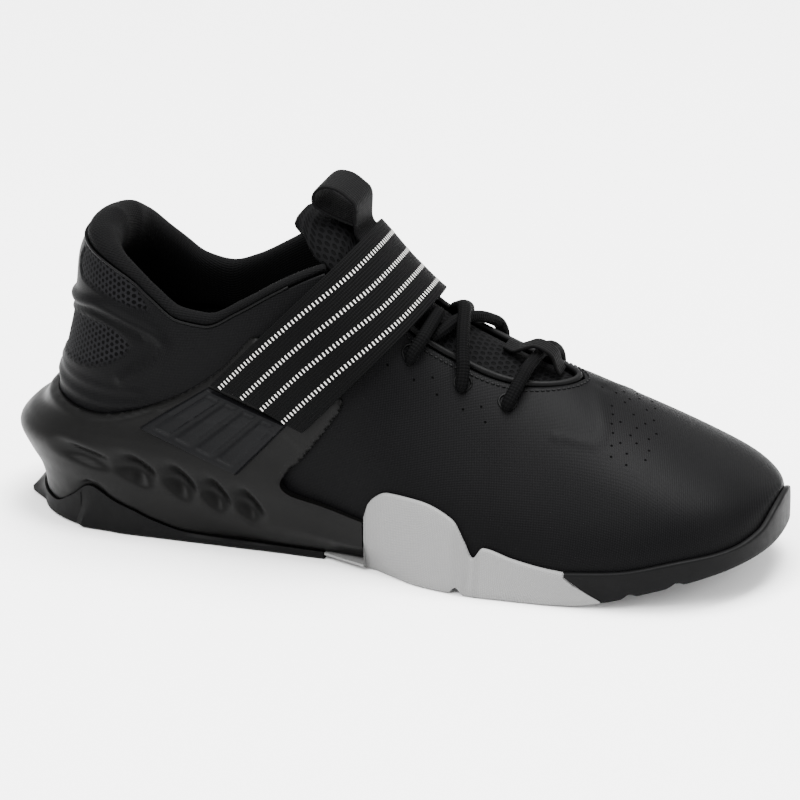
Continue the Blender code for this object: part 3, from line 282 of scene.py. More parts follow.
def gridOf(points, uvs=None, caps=False, values=None):
    # bends a flat grid to points[i][j]; where it is closed, the last j lies on the first
    points = np.asarray(points, float)
    across, along = points.shape[0] - 1, points.shape[1] - 1
    mesh = bmesh.new()
    bmesh.ops.create_grid(mesh, x_segments=across, y_segments=along, size=1.0)
    mesh.verts.index_update()
    i, j = indices(mesh, across, along)
    for vert, row, line in zip(mesh.verts, i, j):
        vert.co = points[row, line]
    if uvs is not None:
        layer = mesh.loops.layers.uv.new("follow")
        uvs = np.asarray(uvs, float)
        for face in mesh.faces:
            for loop in face.loops:
                n = loop.vert.index
                loop[layer].uv = uvs[i[n], j[n]]
    for name, numbers in (values or {}).items():
        layer = mesh.verts.layers.float.new(name)
        for vert, row, line in zip(mesh.verts, i, j):
            vert[layer] = float(numbers[row, line])
    for end in (0, across) if caps else ():
        order = {vert: line for vert, row, line in zip(mesh.verts, i, j) if row == end and line < along}
        bmesh.ops.contextual_create(mesh, geom=sorted(order, key=order.get))
    bmesh.ops.remove_doubles(mesh, verts=mesh.verts, dist=0.00001)
    bmesh.ops.dissolve_degenerate(mesh, edges=mesh.edges, dist=0.00001)
    return mesh


def joined(meshes):
    whole = bmesh.new()
    for mesh in meshes:
        data = bpy.data.meshes.new("part")
        mesh.to_mesh(data)
        mesh.free()
        whole.from_mesh(data)
        bpy.data.meshes.remove(data)
    bmesh.ops.remove_doubles(whole, verts=whole.verts, dist=0.00001)
    return whole


def addPiece(name, mesh, finish, nodes=(), sharp=None):
    bmesh.ops.recalc_face_normals(mesh, faces=mesh.faces)
    closed = all(edge.is_manifold for edge in mesh.edges)
    if closed and mesh.calc_volume(signed=True) < 0:
        bmesh.ops.reverse_faces(mesh, faces=mesh.faces)
    data = bpy.data.meshes.new(name)
    mesh.to_mesh(data)
    mesh.free()
    piece = linked(name, data)
    data.shade_smooth()
    if sharp:
        data.set_sharp_from_angle(angle=math.radians(sharp))
    data.materials.append(finish)
    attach(piece, "root")
    if nodes:
        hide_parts(*nodes)
    return piece


def facing(piece, direction):
    # turns an open sheet's front faces towards a direction
    total = sum(face.normal.dot(Vector(direction)) * face.area for face in piece.data.polygons)
    if total < 0:
        piece.data.flip_normals()


def thicken(piece, thickness, offset=-1.0):
    wall = piece.modifiers.new("wall", "SOLIDIFY")
    wall.thickness, wall.offset = thickness, offset
    wall.use_even_offset = False


def rounded(piece, width, segments=2, angle=35):
    edge = piece.modifiers.new("edge", "BEVEL")
    edge.width, edge.segments, edge.limit_method = width, segments, "ANGLE"
    edge.angle_limit = math.radians(angle)
    edge.harden_normals = False


def subdivided(piece, levels):
    smooth = piece.modifiers.new("smooth", "SUBSURF")
    smooth.levels = smooth.render_levels = levels


def smoothPath(points, perSpan):
    points = [np.array(point, float) for point in points]
    padded = [2 * points[0] - points[1]] + points + [2 * points[-1] - points[-2]]
    path = []
    for a, b, c, d in zip(padded, padded[1:], padded[2:], padded[3:]):
        for k in range(perSpan):
            t = k / perSpan
            square, cube = 2 * a - 5 * b + 4 * c - d, 3 * b - a - 3 * c + d
            path.append((2 * b + (c - a) * t + square * t * t + cube * t ** 3) / 2)
    path.append(points[-1])
    return np.array(path)


def sweep(path, ups, wide, tall, around=12, boxy=1.0):
    # a closed tube of oval section along a path, with a UV that runs along it in metres
    path, ups = np.asarray(path, float), np.asarray(ups, float)
    tangents = unit(np.gradient(path, axis=0))
    sides = unit(np.cross(tangents, ups))
    ups = np.cross(sides, tangents)
    angles = np.linspace(0, 2 * math.pi, around + 1)
    cosines, sines = np.cos(angles), np.sin(angles)
    across = np.sign(cosines) * np.abs(cosines) ** boxy
    over = np.sign(sines) * np.abs(sines) ** boxy
    wide, tall = np.broadcast_to(wide, len(path)), np.broadcast_to(tall, len(path))
    points = path[:, None] + sides[:, None] * (across[None] * wide[:, None])[..., None]
    points = points + ups[:, None] * (over[None] * tall[:, None])[..., None]
    uvs = np.stack(np.broadcast_arrays(runAlong(path)[:, None], (angles / (2 * math.pi))[None]), -1)
    return gridOf(points, uvs=uvs, caps=True)


def forwards(columnsOf, stations):
    # an open sheet round the heel: outer side from the front to the back, then the inner side
    outer, inner = columnsOf(-1, stations), columnsOf(1, stations)
    return np.concatenate([outer[::-1], inner[1:]])


def rings(columnsOf, stations):
    # a solid of half sections, each from the middle plane outwards and back again
    outer, inner = columnsOf(-1, stations), columnsOf(1, stations)
    return np.concatenate([outer[:, ::-1], inner[:, 1:]], axis=1)


def lengths(points, axis):
    # how far along its grid line each point lies
    steps = np.linalg.norm(np.diff(points, axis=axis), axis=-1)
    start = np.zeros_like(np.take(steps, [0], axis=axis))
    return np.concatenate([start, np.cumsum(steps, axis=axis)], axis=axis)


def surfaceUvs(points, run):
    # metres along the shoe and metres across it
    return np.stack(np.broadcast_arrays(np.asarray(run)[:, None], lengths(points, 1)), -1)


def outline(points, perSpan=6):
    return smoothPath([(x, y, 0.0) for x, y in points], perSpan)[:, :2]


def nearPath(u, v, path):
    # distance of points to a line in the same plane
    best = np.full(np.shape(u), 1e9)
    for (ax, ay), (bx, by) in zip(path[:-1], path[1:]):
        dx, dy = bx - ax, by - ay
        t = np.clip(((u - ax) * dx + (v - ay) * dy) / max(dx * dx + dy * dy, 1e-18), 0.0, 1.0)
        best = np.minimum(best, np.hypot(u - ax - t * dx, v - ay - t * dy))
    return best


def insideLoop(u, v, loop):
    inside = np.zeros(np.shape(u), bool)
    for (ax, ay), (bx, by) in zip(loop, np.roll(loop, -1, axis=0)):
        crosses = (ay > v) != (by > v)
        inside ^= crosses & (u < ax + (v - ay) / (by - ay if by != ay else 1e-12) * (bx - ax))
    return inside


def within(u, v, loop):
    # signed distance to a closed line, above zero inside
    closed = np.concatenate([loop, loop[:1]])
    return nearPath(u, v, closed) * np.where(insideLoop(u, v, loop), 1.0, -1.0)


def ridge(distance, width):
    return np.exp(-(distance / width) ** 2)


def settle(piece):
    # applies a piece's modifiers
    graph = bpy.context.evaluated_depsgraph_get()
    data = bpy.data.meshes.new_from_object(piece.evaluated_get(graph))
    piece.modifiers.clear()
    old, piece.data = piece.data, data
    bpy.data.meshes.remove(old)


# shader maths on node sockets reads as plain sums
class Signal:
    def __init__(self, finish, socket):
        self.finish, self.socket = finish, socket

    def maths(self, operation, *others):
        values = dict(enumerate((self,) + others))
        return self.finish.node("Math", dict(operation=operation), values)

    def __add__(self, other): return self.maths("ADD", other)
    def __sub__(self, other): return self.maths("SUBTRACT", other)
    def __mul__(self, other): return self.maths("MULTIPLY", other)
    def __truediv__(self, other): return self.maths("DIVIDE", other)
    def __rsub__(self, other): return self.maths("MULTIPLY_ADD", -1.0, other)
    __radd__, __rmul__ = __add__, __mul__

    def wave(self): return self.maths("SINE")

    def between(self, low, high):
        values = {"Value": self, "From Min": low, "From Max": high}
        return self.finish.node("MapRange", dict(interpolation_type="SMOOTHSTEP"), values)


class Finish:
    def __init__(self, name, colour, roughness, specular):
        self.material = bpy.data.materials.new(name)
        self.material.use_nodes = True
        self.tree = self.material.node_tree
        self.shader = self.tree.nodes["Principled BSDF"]
        self.material.diffuse_color = (*colour, 1.0)
        self.paint(colour)
        self.feed(self.shader.inputs["Roughness"], roughness)
        self.feed(self.shader.inputs["Specular IOR Level"], specular)

    def feed(self, socket, value):
        if isinstance(value, Signal):
            self.tree.links.new(value.socket, socket)
        elif socket.type == "RGBA" and len(value) == 3:
            socket.default_value = (*value, 1.0)
        else:
            socket.default_value = value

    def node(self, kind, settings=None, values=None, output=0):
        fresh = self.tree.nodes.new("ShaderNode" + kind)
        for key, value in (settings or {}).items():
            setattr(fresh, key, value)
        for key, value in (values or {}).items():
            self.feed(fresh.inputs[key], value)
        return Signal(self, fresh.outputs[output])

    def paint(self, colour):
        self.feed(self.shader.inputs["Base Color"], colour)

    def blend(self, factor, first, second):
        return self.node("Mix", dict(data_type="RGBA"), {0: factor, 6: first, 7: second}, 2)

    def rough(self, value):
        self.feed(self.shader.inputs["Roughness"], value)

    def along(self):
        # metres along and across a piece, from its own map
        uv = self.node("UVMap", dict(uv_map="follow"))
        return [self.node("SeparateXYZ", None, {"Vector": uv}, k) for k in (0, 1)]

    def spot(self):
        return self.node("TexCoord", None, None, 3)

    def noise(self, scale, detail=3.0):
        values = {"Vector": self.spot(), "Scale": scale, "Detail": detail}
        return self.node("TexNoise", None, values)

    def mask(self, name):
        return self.node("Attribute", dict(attribute_name=name), None, 2)

    def bump(self, height, distance, strength=1.0):
        values = {"Height": height, "Distance": distance, "Strength": strength}
        self.feed(self.shader.inputs["Normal"], self.node("Bump", None, values))


def honeycomb(u, v, pitch):
    # three crossed waves make rows of round holes; 0 in a hole, 1 on the web
    turn = 2 * math.pi / pitch
    first = (u * turn + math.pi / 2).wave()
    second = ((u * 0.5 + v * 0.866) * turn + math.pi / 2).wave()
    third = ((u * 0.5 - v * 0.866) * turn + math.pi / 2).wave()
    return 1 - (first + second + third).between(-0.2, 1.1)


def upperTextile():
    # hole: painted shade, near black inside the netting's holes
    # raised: the twill's threads painted lighter, a painted highlight laid on the weave pattern
    cloth = dict(twill=0.00105, deep=0.00005, mesh=0.0021, base=(0.001, 0.001, 0.0011),
                 dark=(0.0006, 0.0006, 0.0007), worn=(0.0012, 0.0012, 0.00135), raised=(0.0062, 0.0062, 0.0066),
                 hole=(0.00015, 0.00015, 0.0002), web=(0.005, 0.005, 0.0055))
    finish = Finish("upperTextile", cloth["base"], 0.5, 0.032)
    u, v = finish.along()
    netting = finish.mask("netting")
    turn = 2 * math.pi / cloth["twill"]
    twill = ((u + v * 0.7) * turn).wave() * ((u * 0.7 - v) * turn).wave()
    holes = honeycomb(u, v, cloth["mesh"])
    patches = finish.noise(38.0)
    fine = finish.noise(900.0, 2.0)
    shade = finish.blend(patches, cloth["dark"], cloth["worn"])
    # painted highlight: the twill's raised threads are painted lighter, on top of the weave's own pattern
    lit = finish.blend(twill.between(0.1, 1.0) * 0.7, shade, cloth["raised"])
    # painted shade: the netting's holes are painted near black against its lighter web
    net = finish.blend(holes, cloth["hole"], cloth["web"])
    finish.paint(finish.blend(netting, lit, net))
    finish.rough(0.42 + patches * 0.14 + netting * 0.28)
    finish.bump((twill * 0.5 + fine * 0.6) * (1 - netting) + holes * netting * 9.0, cloth["deep"])
    return finish.material


def clipPlastic():
    clip = dict(low=(0.0009, 0.0009, 0.0009), high=(0.0018, 0.00175, 0.00165), grain=1600.0)
    finish = Finish("clipPlastic", clip["low"], 0.42, 0.07)
    cloud = finish.noise(24.0, 4.0)
    grain = finish.noise(clip["grain"], 2.0)
    scuffs = finish.noise(260.0, 6.0)
    finish.paint(finish.blend(cloud, clip["low"], clip["high"]))
    finish.rough(0.36 + scuffs * 0.16)
    finish.bump(grain, 0.00003, 0.6)
    return finish.material


def blackRubber():
    rubber = dict(low=(0.00065, 0.00065, 0.0007), high=(0.0013, 0.0013, 0.0014))
    finish = Finish("blackRubber", rubber["low"], 0.55, 0.060)
    cloud = finish.noise(40.0, 4.0)
    grain = finish.noise(2200.0, 2.0)
    finish.paint(finish.blend(cloud, rubber["low"], rubber["high"]))
    finish.rough(0.46 + finish.noise(300.0, 5.0) * 0.2)
    finish.bump(grain, 0.00004)
    return finish.material


def greyRubber():
    rubber = dict(low=(0.11, 0.11, 0.109), middle=(0.145, 0.145, 0.144), high=(0.17, 0.17, 0.168), dots=0.0013)
    finish = Finish("greyRubber", rubber["high"], 0.6, 0.35)
    u, v = finish.along()
    turn = 2 * math.pi / rubber["dots"]
    dots = ((u + v) * turn).wave() * ((u - v) * turn).wave()
    cloud = finish.noise(30.0, 4.0)
    plain = finish.blend(cloud, rubber["middle"], rubber["high"])
    finish.paint(finish.blend(dots.between(-0.1, 0.9), rubber["low"], plain))
    finish.rough(0.52 + cloud * 0.14)
    finish.bump(dots.between(-0.4, 0.7), 0.00006)
    return finish.material


def knit(name, low, high, ribs, courses, deep, roughness):
    # rows of small stitches along the piece
    finish = Finish(name, low, roughness, 0.048)
    u, v = finish.along()
    across = (v * (2 * math.pi / ribs)).wave()
    stitch = (u * (2 * math.pi / courses) + across * 1.3).wave()
    loops = (across * 0.6 + stitch * 0.5).between(-0.9, 0.9)
    fuzz = finish.noise(1300.0, 3.0)
    finish.paint(finish.blend(loops * 0.7 + fuzz * 0.3, low, high))
    finish.rough(roughness - 0.08 + fuzz * 0.16)
    finish.bump(loops + fuzz * 0.3, deep)
    return finish.material


def tongueMesh():
    # low: painted shade, near black inside the mesh's holes
    cloth = dict(diamond=0.0023, low=(0.0001, 0.0001, 0.00015), high=(0.0022, 0.0022, 0.0024))
    finish = Finish("tongueMesh", cloth["high"], 0.75, 0.035)
    u, v = finish.along()
    holes = honeycomb(u, v, cloth["diamond"])
    threads = finish.noise(1500.0, 2.0)
    # painted shade: the mesh's holes are painted near black, with random thread tone over the whole
    finish.paint(finish.blend(holes * 0.8 + threads * 0.2, cloth["low"], cloth["high"]))
    finish.rough(0.68 + threads * 0.18)
    finish.bump(holes + threads * 0.2, 0.00035)
    return finish.material


def braid(name, low, high, pitch, strands, deep):
    # crossed strands round a cord: u runs along it in metres, v once around it
    finish = Finish(name, low, 0.8, 0.035)
    u, v = finish.along()
    turn, around = 2 * math.pi / pitch, 2 * math.pi * strands
    left, right = (u * turn + v * around).wave(), (u * turn - v * around).wave()
    cells = (left * right).between(-0.7, 0.8)
    fuzz = finish.noise(1400.0, 3.0)
    finish.paint(finish.blend(cells * 0.75 + fuzz * 0.25, low, high))
    finish.rough(0.72 + fuzz * 0.16)
    finish.bump(cells + fuzz * 0.25, deep)
    return finish.material


def ribbed(name, low, high, ribs, weft, deep, roughness, specular):
    # fine cords along a band, crossed by a finer weft
    finish = Finish(name, low, roughness, specular)
    u, v = finish.along()
    cords = (v * (2 * math.pi / ribs)).wave().between(-0.8, 0.8)
    cross = (u * (2 * math.pi / weft)).wave()
    fuzz = finish.noise(1100.0, 3.0)
    finish.paint(finish.blend(cords * 0.6 + cross * 0.1 + fuzz * 0.3, low, high))
    finish.rough(roughness - 0.06 + fuzz * 0.14)
    finish.bump(cords + cross * 0.25 + fuzz * 0.2, deep)
    return finish.material


def plainTape(name, low, high, roughness, specular):
    finish = Finish(name, low, roughness, specular)
    grain = finish.noise(1500.0, 3.0)
    cloud = finish.noise(60.0, 3.0)
    finish.paint(finish.blend(cloud * 0.5 + grain * 0.5, low, high))
    finish.rough(roughness - 0.06 + grain * 0.12)
    finish.bump(grain, 0.00005)
    return finish.material


finishes = dict(
    upper=upperTextile(), clip=clipPlastic(), rubber=blackRubber(), grey=greyRubber(), tongue=tongueMesh(),
    collar=knit("collarKnit", (0.00025, 0.00025, 0.0003), (0.0014, 0.0014, 0.00155),
                ribs=0.0011, courses=0.0016, deep=0.0002, roughness=0.85),
    insole=knit("insoleTextile", (0.0005, 0.0005, 0.00055), (0.0015, 0.0015, 0.00165),
                ribs=0.0013, courses=0.0013, deep=0.0001, roughness=0.9),
    lace=braid("laceCord", (0.0002, 0.0002, 0.00025), (0.0012, 0.0012, 0.0013),
               pitch=0.0022, strands=5, deep=0.0002),
    strap=ribbed("strapElastic", (0.00025, 0.00025, 0.0003), (0.0011, 0.0011, 0.0012),
                 ribs=0.00115, weft=0.0008, deep=0.00014, roughness=0.7, specular=0.04),
    webbing=ribbed("loopWebbing", (0.0004, 0.0004, 0.00045), (0.0015, 0.0015, 0.00165),
                   ribs=0.0016, weft=0.0009, deep=0.00016, roughness=0.75, specular=0.05),
    tab=plainTape("tabPlastic", (0.0012, 0.00125, 0.0015), (0.0019, 0.00195, 0.0023), 0.5, 0.06),
    binding=plainTape("bindingTape", (0.0006, 0.0006, 0.00065), (0.0013, 0.0013, 0.0014), 0.5, 0.06),
    # painted shade: near black plugs stand for the shade inside the punched holes
    hole=plainTape("paintedHoleShade", (0.0001, 0.0001, 0.0001), (0.0002, 0.0002, 0.0002), 0.9, 0.02),
    thread=plainTape("seamThread", (0.0011, 0.0011, 0.0012), (0.00275, 0.00275, 0.003), 0.6, 0.1),
    tick=plainTape("tickThread", (0.34, 0.335, 0.32), (0.48, 0.475, 0.46), 0.7, 0.2))
print("finishes made")

# rim of the heel clip in side view, shares of length and collar height, as in the solids
rim = dict(
    along=[-0.050, 0.065, 0.120, 0.165, 0.215, 0.262, 0.308, 0.340, 0.352, 0.366, 0.400, 0.440, 0.462, 0.468,
           0.455, 0.420, 0.392, 0.402, 0.440, 0.500, 0.560],
    height=[0.445, 0.432, 0.418, 0.430, 0.475, 0.540, 0.635, 0.735, 0.762, 0.752, 0.690, 0.620, 0.592, 0.562,
            0.500, 0.370, 0.285, 0.240, 0.215, 0.178, 0.160], edge=0.0024)
rimPath = outline([(place(a), h * shoe["collar"]) for a, h in zip(rim["along"], rim["height"])], 8)
rimLoop = np.concatenate([[(rimPath[0, 0], -0.03)], rimPath, [(rimPath[-1, 0], -0.03)]])


def belowRim(x, z):
    # how far inside the clip's outline a point lies in side view
    return within(x, z, rimLoop)


# relief of the upper: lines in the plane of metres round the heel and height
relief = dict(
    rib=[(-58.0, 85.5), (-46.0, 86.6), (-35.0, 87.2), (-19.0, 89.0), (-7.9, 87.2), (0.0, 84.2), (6.0, 82.0),
         (10.0, 79.4), (11.0, 76.6), (9.2, 72.9), (6.0, 69.4), (0.0, 65.1), (-4.1, 61.6)],
    groove=[(-58.0, 82.6), (-46.0, 83.5), (-35.3, 84.3), (-20.6, 86.0), (-10.1, 84.3), (-3.4, 82.2),
            (2.0, 79.4)],
    window=[(-62.0, 78.5), (-50.0, 80.0), (-34.0, 82.0), (-21.4, 82.7), (-9.9, 81.2), (-4.4, 78.4),
            (-1.9, 75.4),
            (-3.6, 72.3), (-8.1, 68.6), (-15.6, 65.6), (-24.3, 64.4), (-38.0, 64.0), (-50.0, 64.2),
            (-62.0, 64.4)],
    patch=[(-36.5, 103.5), (-33.5, 110.0), (-29.0, 116.0), (-23.0, 116.0), (-14.3, 112.0), (-7.6, 108.0),
           (-3.5, 103.6), (0.6, 97.4), (4.4, 91.0), (0.0, 90.6), (-7.2, 91.9), (-15.2, 94.2), (-27.2, 96.2),
           (-32.4, 97.4), (-35.6, 100.0)],
    ledge=[(-58.0, 56.2), (-46.0, 55.6), (-39.3, 54.6), (-32.3, 53.2), (-18.0, 51.6), (-7.5, 51.0),
           (4.0, 52.2)],
    lower=[(-58.0, 61.4), (-44.0, 60.6), (-34.0, 59.2), (-22.0, 57.8), (-10.0, 57.2), (2.0, 57.6)],
    panel=[(160.0, 55.2), (166.5, 54.3), (171.8, 53.4), (175.6, 53.0), (177.2, 55.0), (175.8, 57.6),
           (172.2, 61.6),
           (168.4, 64.6)],
    ribUp=0.0015, ribWide=0.0019, ledgeUp=0.0011, ledgeWide=0.0024, deep=0.0008)
lines = {name: outline([(a / 1000, b / 1000) for a, b in relief[name]]) for name in
         ("rib", "groove", "window", "patch", "ledge", "lower", "panel")}


def upperRelief(side, station, z):
    # offset of the upper's face, and how much of the netting shows there
    clear = ease(-belowRim(sectionX(station) - np.maximum(-station, 0.0), z) / 0.0018)
    window = ease(within(station, z, lines["window"]) / 0.0009 + 0.5)
    patch = ease(within(station, z, lines["patch"]) / 0.0009 + 0.5)
    height = relief["ribUp"] * ridge(nearPath(station, z, lines["rib"]), relief["ribWide"])
    height -= 0.0009 * ridge(nearPath(station, z, lines["groove"]), 0.0009)
    height += relief["ledgeUp"] * ridge(nearPath(station, z, lines["ledge"]), relief["ledgeWide"])
    height += 0.0005 * ridge(nearPath(station, z, lines["lower"]), 0.0012)
    height -= relief["deep"] * window + 0.0004 * patch
    height -= 0.0005 * ridge(within(station, z, lines["patch"]), 0.0006)
    height += 0.00035 * ridge(nearPath(station, z, lines["panel"]), 0.0010)
    return height * clear, np.maximum(window, patch) * clear


def makeUpper():
    # finer steps where the throat ends, and closing ones at the tip
    upper = dict(rows=66, fan=56, step=0.0019, fineStep=0.0009, fine=(0.688, 0.744), closing=0.965)
    fineFrom, fineTo = (stationAt(at) for at in upper["fine"])
    closing = stationAt(upper["closing"])
    side = np.concatenate([
        np.arange(0.0, fineFrom, upper["step"]), np.arange(fineFrom, fineTo, upper["fineStep"]),
        np.arange(fineTo, closing, upper["step"]),
        closing + (tipStation - closing) * np.sin(np.linspace(0, 1, 9) * math.pi / 2)])
    stations = roundHeel(upper["fan"], side)
    shares = np.linspace(0.0, 1.0, upper["rows"] + 1)
    marks = []

    def columns(side, stations):
        turns = edgeTurn(side, stations)[:, None] * shares[None]
        station = np.broadcast_to(stations[:, None], turns.shape)
        z = surface(side, station, turns)[..., 2]
        height, netting = upperRelief(side, station, z)
        height = height * ease(shares / 0.05)[None] * ease((1.0 - shares) / 0.05)[None]
        marks.append(netting)
        return skin(side, station, turns, height)

    points = forwards(columns, stations)
    netting = np.concatenate([marks[0][::-1], marks[1][1:]])
    run = np.concatenate([-stations[::-1] - 2 * shoe["heelFan"], stations[1:]])
    mesh = gridOf(points, uvs=surfaceUvs(points, run), values=dict(netting=netting))
    piece = addPiece("upperShell", mesh, finishes["upper"], ["upper"])
    outwards(piece, (0.08, 0.0, 0.04))
    thicken(piece, shoe["wall"])


def outwards(piece, centre):
    total = sum(face.normal.dot(face.center - Vector(centre)) * face.area for face in piece.data.polygons)
    if total < 0:
        piece.data.flip_normals()


makeUpper()
print("upper made")

# sides of the heel clip, bottom to top: heights as shares of heelLift, swells as shares of heelWidth
flanks = dict(
    zBack=[0.000, 0.42, 0.62, 0.86, 1.16, 1.38, 1.53, 1.72],
    zSide=[0.000, 0.46, 0.76, 0.96, 1.22, 1.42, 1.62, 1.88],
    zWaist=[0.000, 0.30, 0.52, 0.72, 0.96, 1.20, 1.48, 1.85],
    zFront=[0.000, 0.22, 0.36, 0.47, 0.58, 0.68, 0.78, 0.90],
    back=[0.078, 0.085, 0.110, 0.170, 0.225, 0.165, 0.075, 0.041],
    side=[0.030, 0.040, 0.064, 0.073, 0.088, 0.076, 0.054, 0.040],
    waist=[-0.026, 0.010, 0.046, 0.056, 0.064, 0.057, 0.045, 0.040],
    front=[-0.045, -0.010, 0.030, 0.032, 0.034, 0.036, 0.037, 0.038], step=0.0016)
heelWrap = dict(along=[0.000, 0.045, 0.085, 0.118, 0.145, 0.175, 0.215, 0.265, 0.330, 0.470],
                height=[0.330, 0.260, 0.240, 0.420, 0.640, 0.470, 0.270, 0.140, 0.118, 0.118])
forefootWrap = dict(along=[0.500, 0.510, 0.532, 0.575, 0.620, 0.638, 0.650, 0.662, 0.700, 0.740, 0.765],
                    height=[0.700, 1.020, 1.160, 1.130, 0.960, 0.700, 0.510, 0.655, 0.560, 0.490, 0.465])
toeWrap = dict(along=[0.765, 0.830, 0.900, 0.955, 0.980, 0.992],
               height=[0.465, 0.530, 0.680, 0.760, 0.880, 1.130])
# dark pockets in the clip's side: place round the heel, height, half sizes, lean in degrees, depth; all in mm
pockets = [(-15.0, 31.2, 11.0, 3.8, 166, 3.4), (2.0, 28.0, 8.8, 5.0, 146, 4.4),
           (18.6, 25.0, 9.0, 5.2, 136, 4.6),
           (33.0, 21.8, 8.6, 4.9, 131, 4.5), (46.4, 19.4, 8.4, 4.7, 130, 4.3)]


def flankRows(side, stations, count, first=0, last=7):
    # heights and swells of the clip's side at count places between its charted rows
    at = perimeter(stations)
    stops = np.array([0.0, shoe["heelMiddle"], 0.370, shoe["clipEnd"]])
    k = np.clip(np.searchsorted(stops, at, side="right") - 1, 0, 2)
    t = ease((at - stops[k]) / (stops[k + 1] - stops[k]))
    tables = [np.array([flanks[name] for name in names]) for names in
              (("zBack", "zSide", "zWaist", "zFront"), ("back", "side", "waist", "front"))]
    heights, swells = (mix(table[k], table[k + 1], t[:, None]) for table in tables)
    wrap = shoe["heelLift"] * column(heelWrap, "height", at)
    rows = np.arange(8)
    z = np.maximum(shoe["heelLift"] * heights, wrap[:, None] + flanks["step"] * rows[None])
    v = np.linspace(first, last, count)
    z = np.array([column(dict(along=rows, value=line), "value", v) for line in z])
    swell = np.array([column(dict(along=rows, value=line), "value", v) for line in swells * shoe["heelWidth"]])
    return z, swell


def pocketDepth(station, z):
    depth = np.zeros(np.shape(z))
    for where, height, long, short, lean, deep in pockets:
        angle = math.radians(lean)
        du, dv = station * 1000 - where, z * 1000 - height
        along = (du * math.cos(angle) + dv * math.sin(angle)) / long
        across = (dv * math.cos(angle) - du * math.sin(angle)) / short
        away = (np.abs(along) ** 2.6 + np.abs(across) ** 2.6) ** (1 / 2.6)
        depth = np.maximum(depth, deep / 1000 * ease((1.25 - away) / 1.15))
    return depth


def clipSide(side, stations):
    # the clip's outer face from the rubber up to above its rim, with its heights and offsets
    z, swell = flankRows(side, stations, 44)
    station = np.broadcast_to(stations[:, None], z.shape)
    swell = swell - pocketDepth(station, z)
    x = sectionX(stations)
    top = shoe["collar"] * np.where(stations < 0, 0.52, mix(0.52, 0.83, ease(stations / 0.035)))
    ending = ease((share(x) - 0.462) / (shoe["clipEnd"] - 0.462))
    top = mix(top, shoe["heelLift"] * 1.3, ending)
    lift = np.linspace(0.0, 1.0, 41)[1:]
    wingZ = mix(z[:, -1:], top[:, None], lift[None])
    swell = np.concatenate([swell, np.full(wingZ.shape, shoe["wing"] + shoe["gap"])], axis=1)
    z = np.concatenate([z, wingZ], axis=1)
    return z, swell, top


def roundedRim(x, z, swell):
    # the swell sinks to the upper's face on a quarter round at the rim
    reach = np.clip(belowRim(x, z) / rim["edge"], 0.0, 1.0)
    arc = np.sqrt(np.maximum(1 - (1 - reach) ** 2, 0.02))
    return shoe["gap"] + (swell - shoe["gap"]) * arc


def capEnd(mesh):
    # closes the open loops of a tube
    edges = [edge for edge in mesh.edges if edge.is_boundary]
    if edges:
        bmesh.ops.holes_fill(mesh, edges=edges, sides=0)


def makeClip():
    clip = dict(fan=64, step=0.0010, floor=0.86)
    last = stationAt(shoe["clipEnd"])
    stations = roundHeel(clip["fan"], np.append(np.arange(0.0, last, clip["step"]), last))

    def columns(side, stations):
        z, swell, top = clipSide(side, stations)
        station = np.broadcast_to(stations[:, None], z.shape)
        plain = flank(side, station, z, swell)
        upperPart = ease((z - 0.030) / 0.006)
        soft = roundedRim(plain[..., 0], z, swell)
        outside = flank(side, station, z, mix(swell, soft, upperPart))
        outside[..., 0] = np.where(station > 0, sectionX(station), outside[..., 0])
        outside[:, 0, 2] += shoe["gap"]
        x = sectionX(stations)
        bed = bedHeight(x)
        down = mix(top[:, None], bed[:, None], np.linspace(0.0, 1.0, 12)[None])
        inside = flank(side, np.broadcast_to(stations[:, None], down.shape), down, shoe["gap"])
        inside[:, -1, 2] = bed
        middle = np.stack([x, np.zeros_like(x)], -1)
        corner = middle + (outside[:, 0, :2] - middle) * clip["floor"]
        low = np.full_like(x, shoe["rubber"] + shoe["gap"])
        floor = np.concatenate([corner, low[:, None]], -1)[:, None]
        centre = np.stack([x, np.zeros_like(x), low], -1)[:, None]
        top = np.stack([x, np.zeros_like(x), bed], -1)[:, None]
        return np.concatenate([centre, floor, outside, inside, top], axis=1)

    points = rings(columns, stations)
    mesh = gridOf(points, uvs=surfaceUvs(points, stations))
    capEnd(mesh)
    piece = addPiece("heelClip", mesh, finishes["clip"], ["midsole"])
    # a plate of the rim's outline cuts the clip
    plate = bmesh.new()
    corners = [plate.verts.new((x, -0.2, z)) for x, z in rimLoop]
    grown = bmesh.ops.extrude_face_region(plate, geom=[plate.faces.new(corners)])["geom"]
    far = [part for part in grown if isinstance(part, bmesh.types.BMVert)]
    bmesh.ops.translate(plate, verts=far, vec=(0, 0.4, 0))
    bmesh.ops.recalc_face_normals(plate, faces=plate.faces)
    data = bpy.data.meshes.new("rimPlate")
    plate.to_mesh(data)
    plate.free()
    cutter = linked("rimPlate", data)
    cut = piece.modifiers.new("rim", "BOOLEAN")
    cut.operation, cut.object = "INTERSECT", cutter
    settle(piece)
    bpy.data.objects.remove(cutter)
    piece.data.shade_smooth()
    piece.data.set_sharp_from_angle(angle=math.radians(48))


makeClip()
print("clip made")


def heelPlan(side, stations):
    # plan of the heel rubber: a flat back, a chamfer, then along the side
    wide = shoe["heelWidth"] * 0.545
    fan = np.clip(1 + stations / shoe["heelFan"], 0.0, 1.0)
    back = np.interp(fan, [0.0, 0.12, 0.80, 1.0], [-0.90, -0.90, -0.38, 0.0])
    out = np.interp(fan, [0.0, 0.12, 0.80, 1.0], [0.0, 0.20, 0.955, 1.0])
    x = np.where(stations < 0, heelX * (1 + back) + back * shoe["heelReach"] * 1.02, sectionX(stations))
    return np.stack([x, side * wide * out], -1)


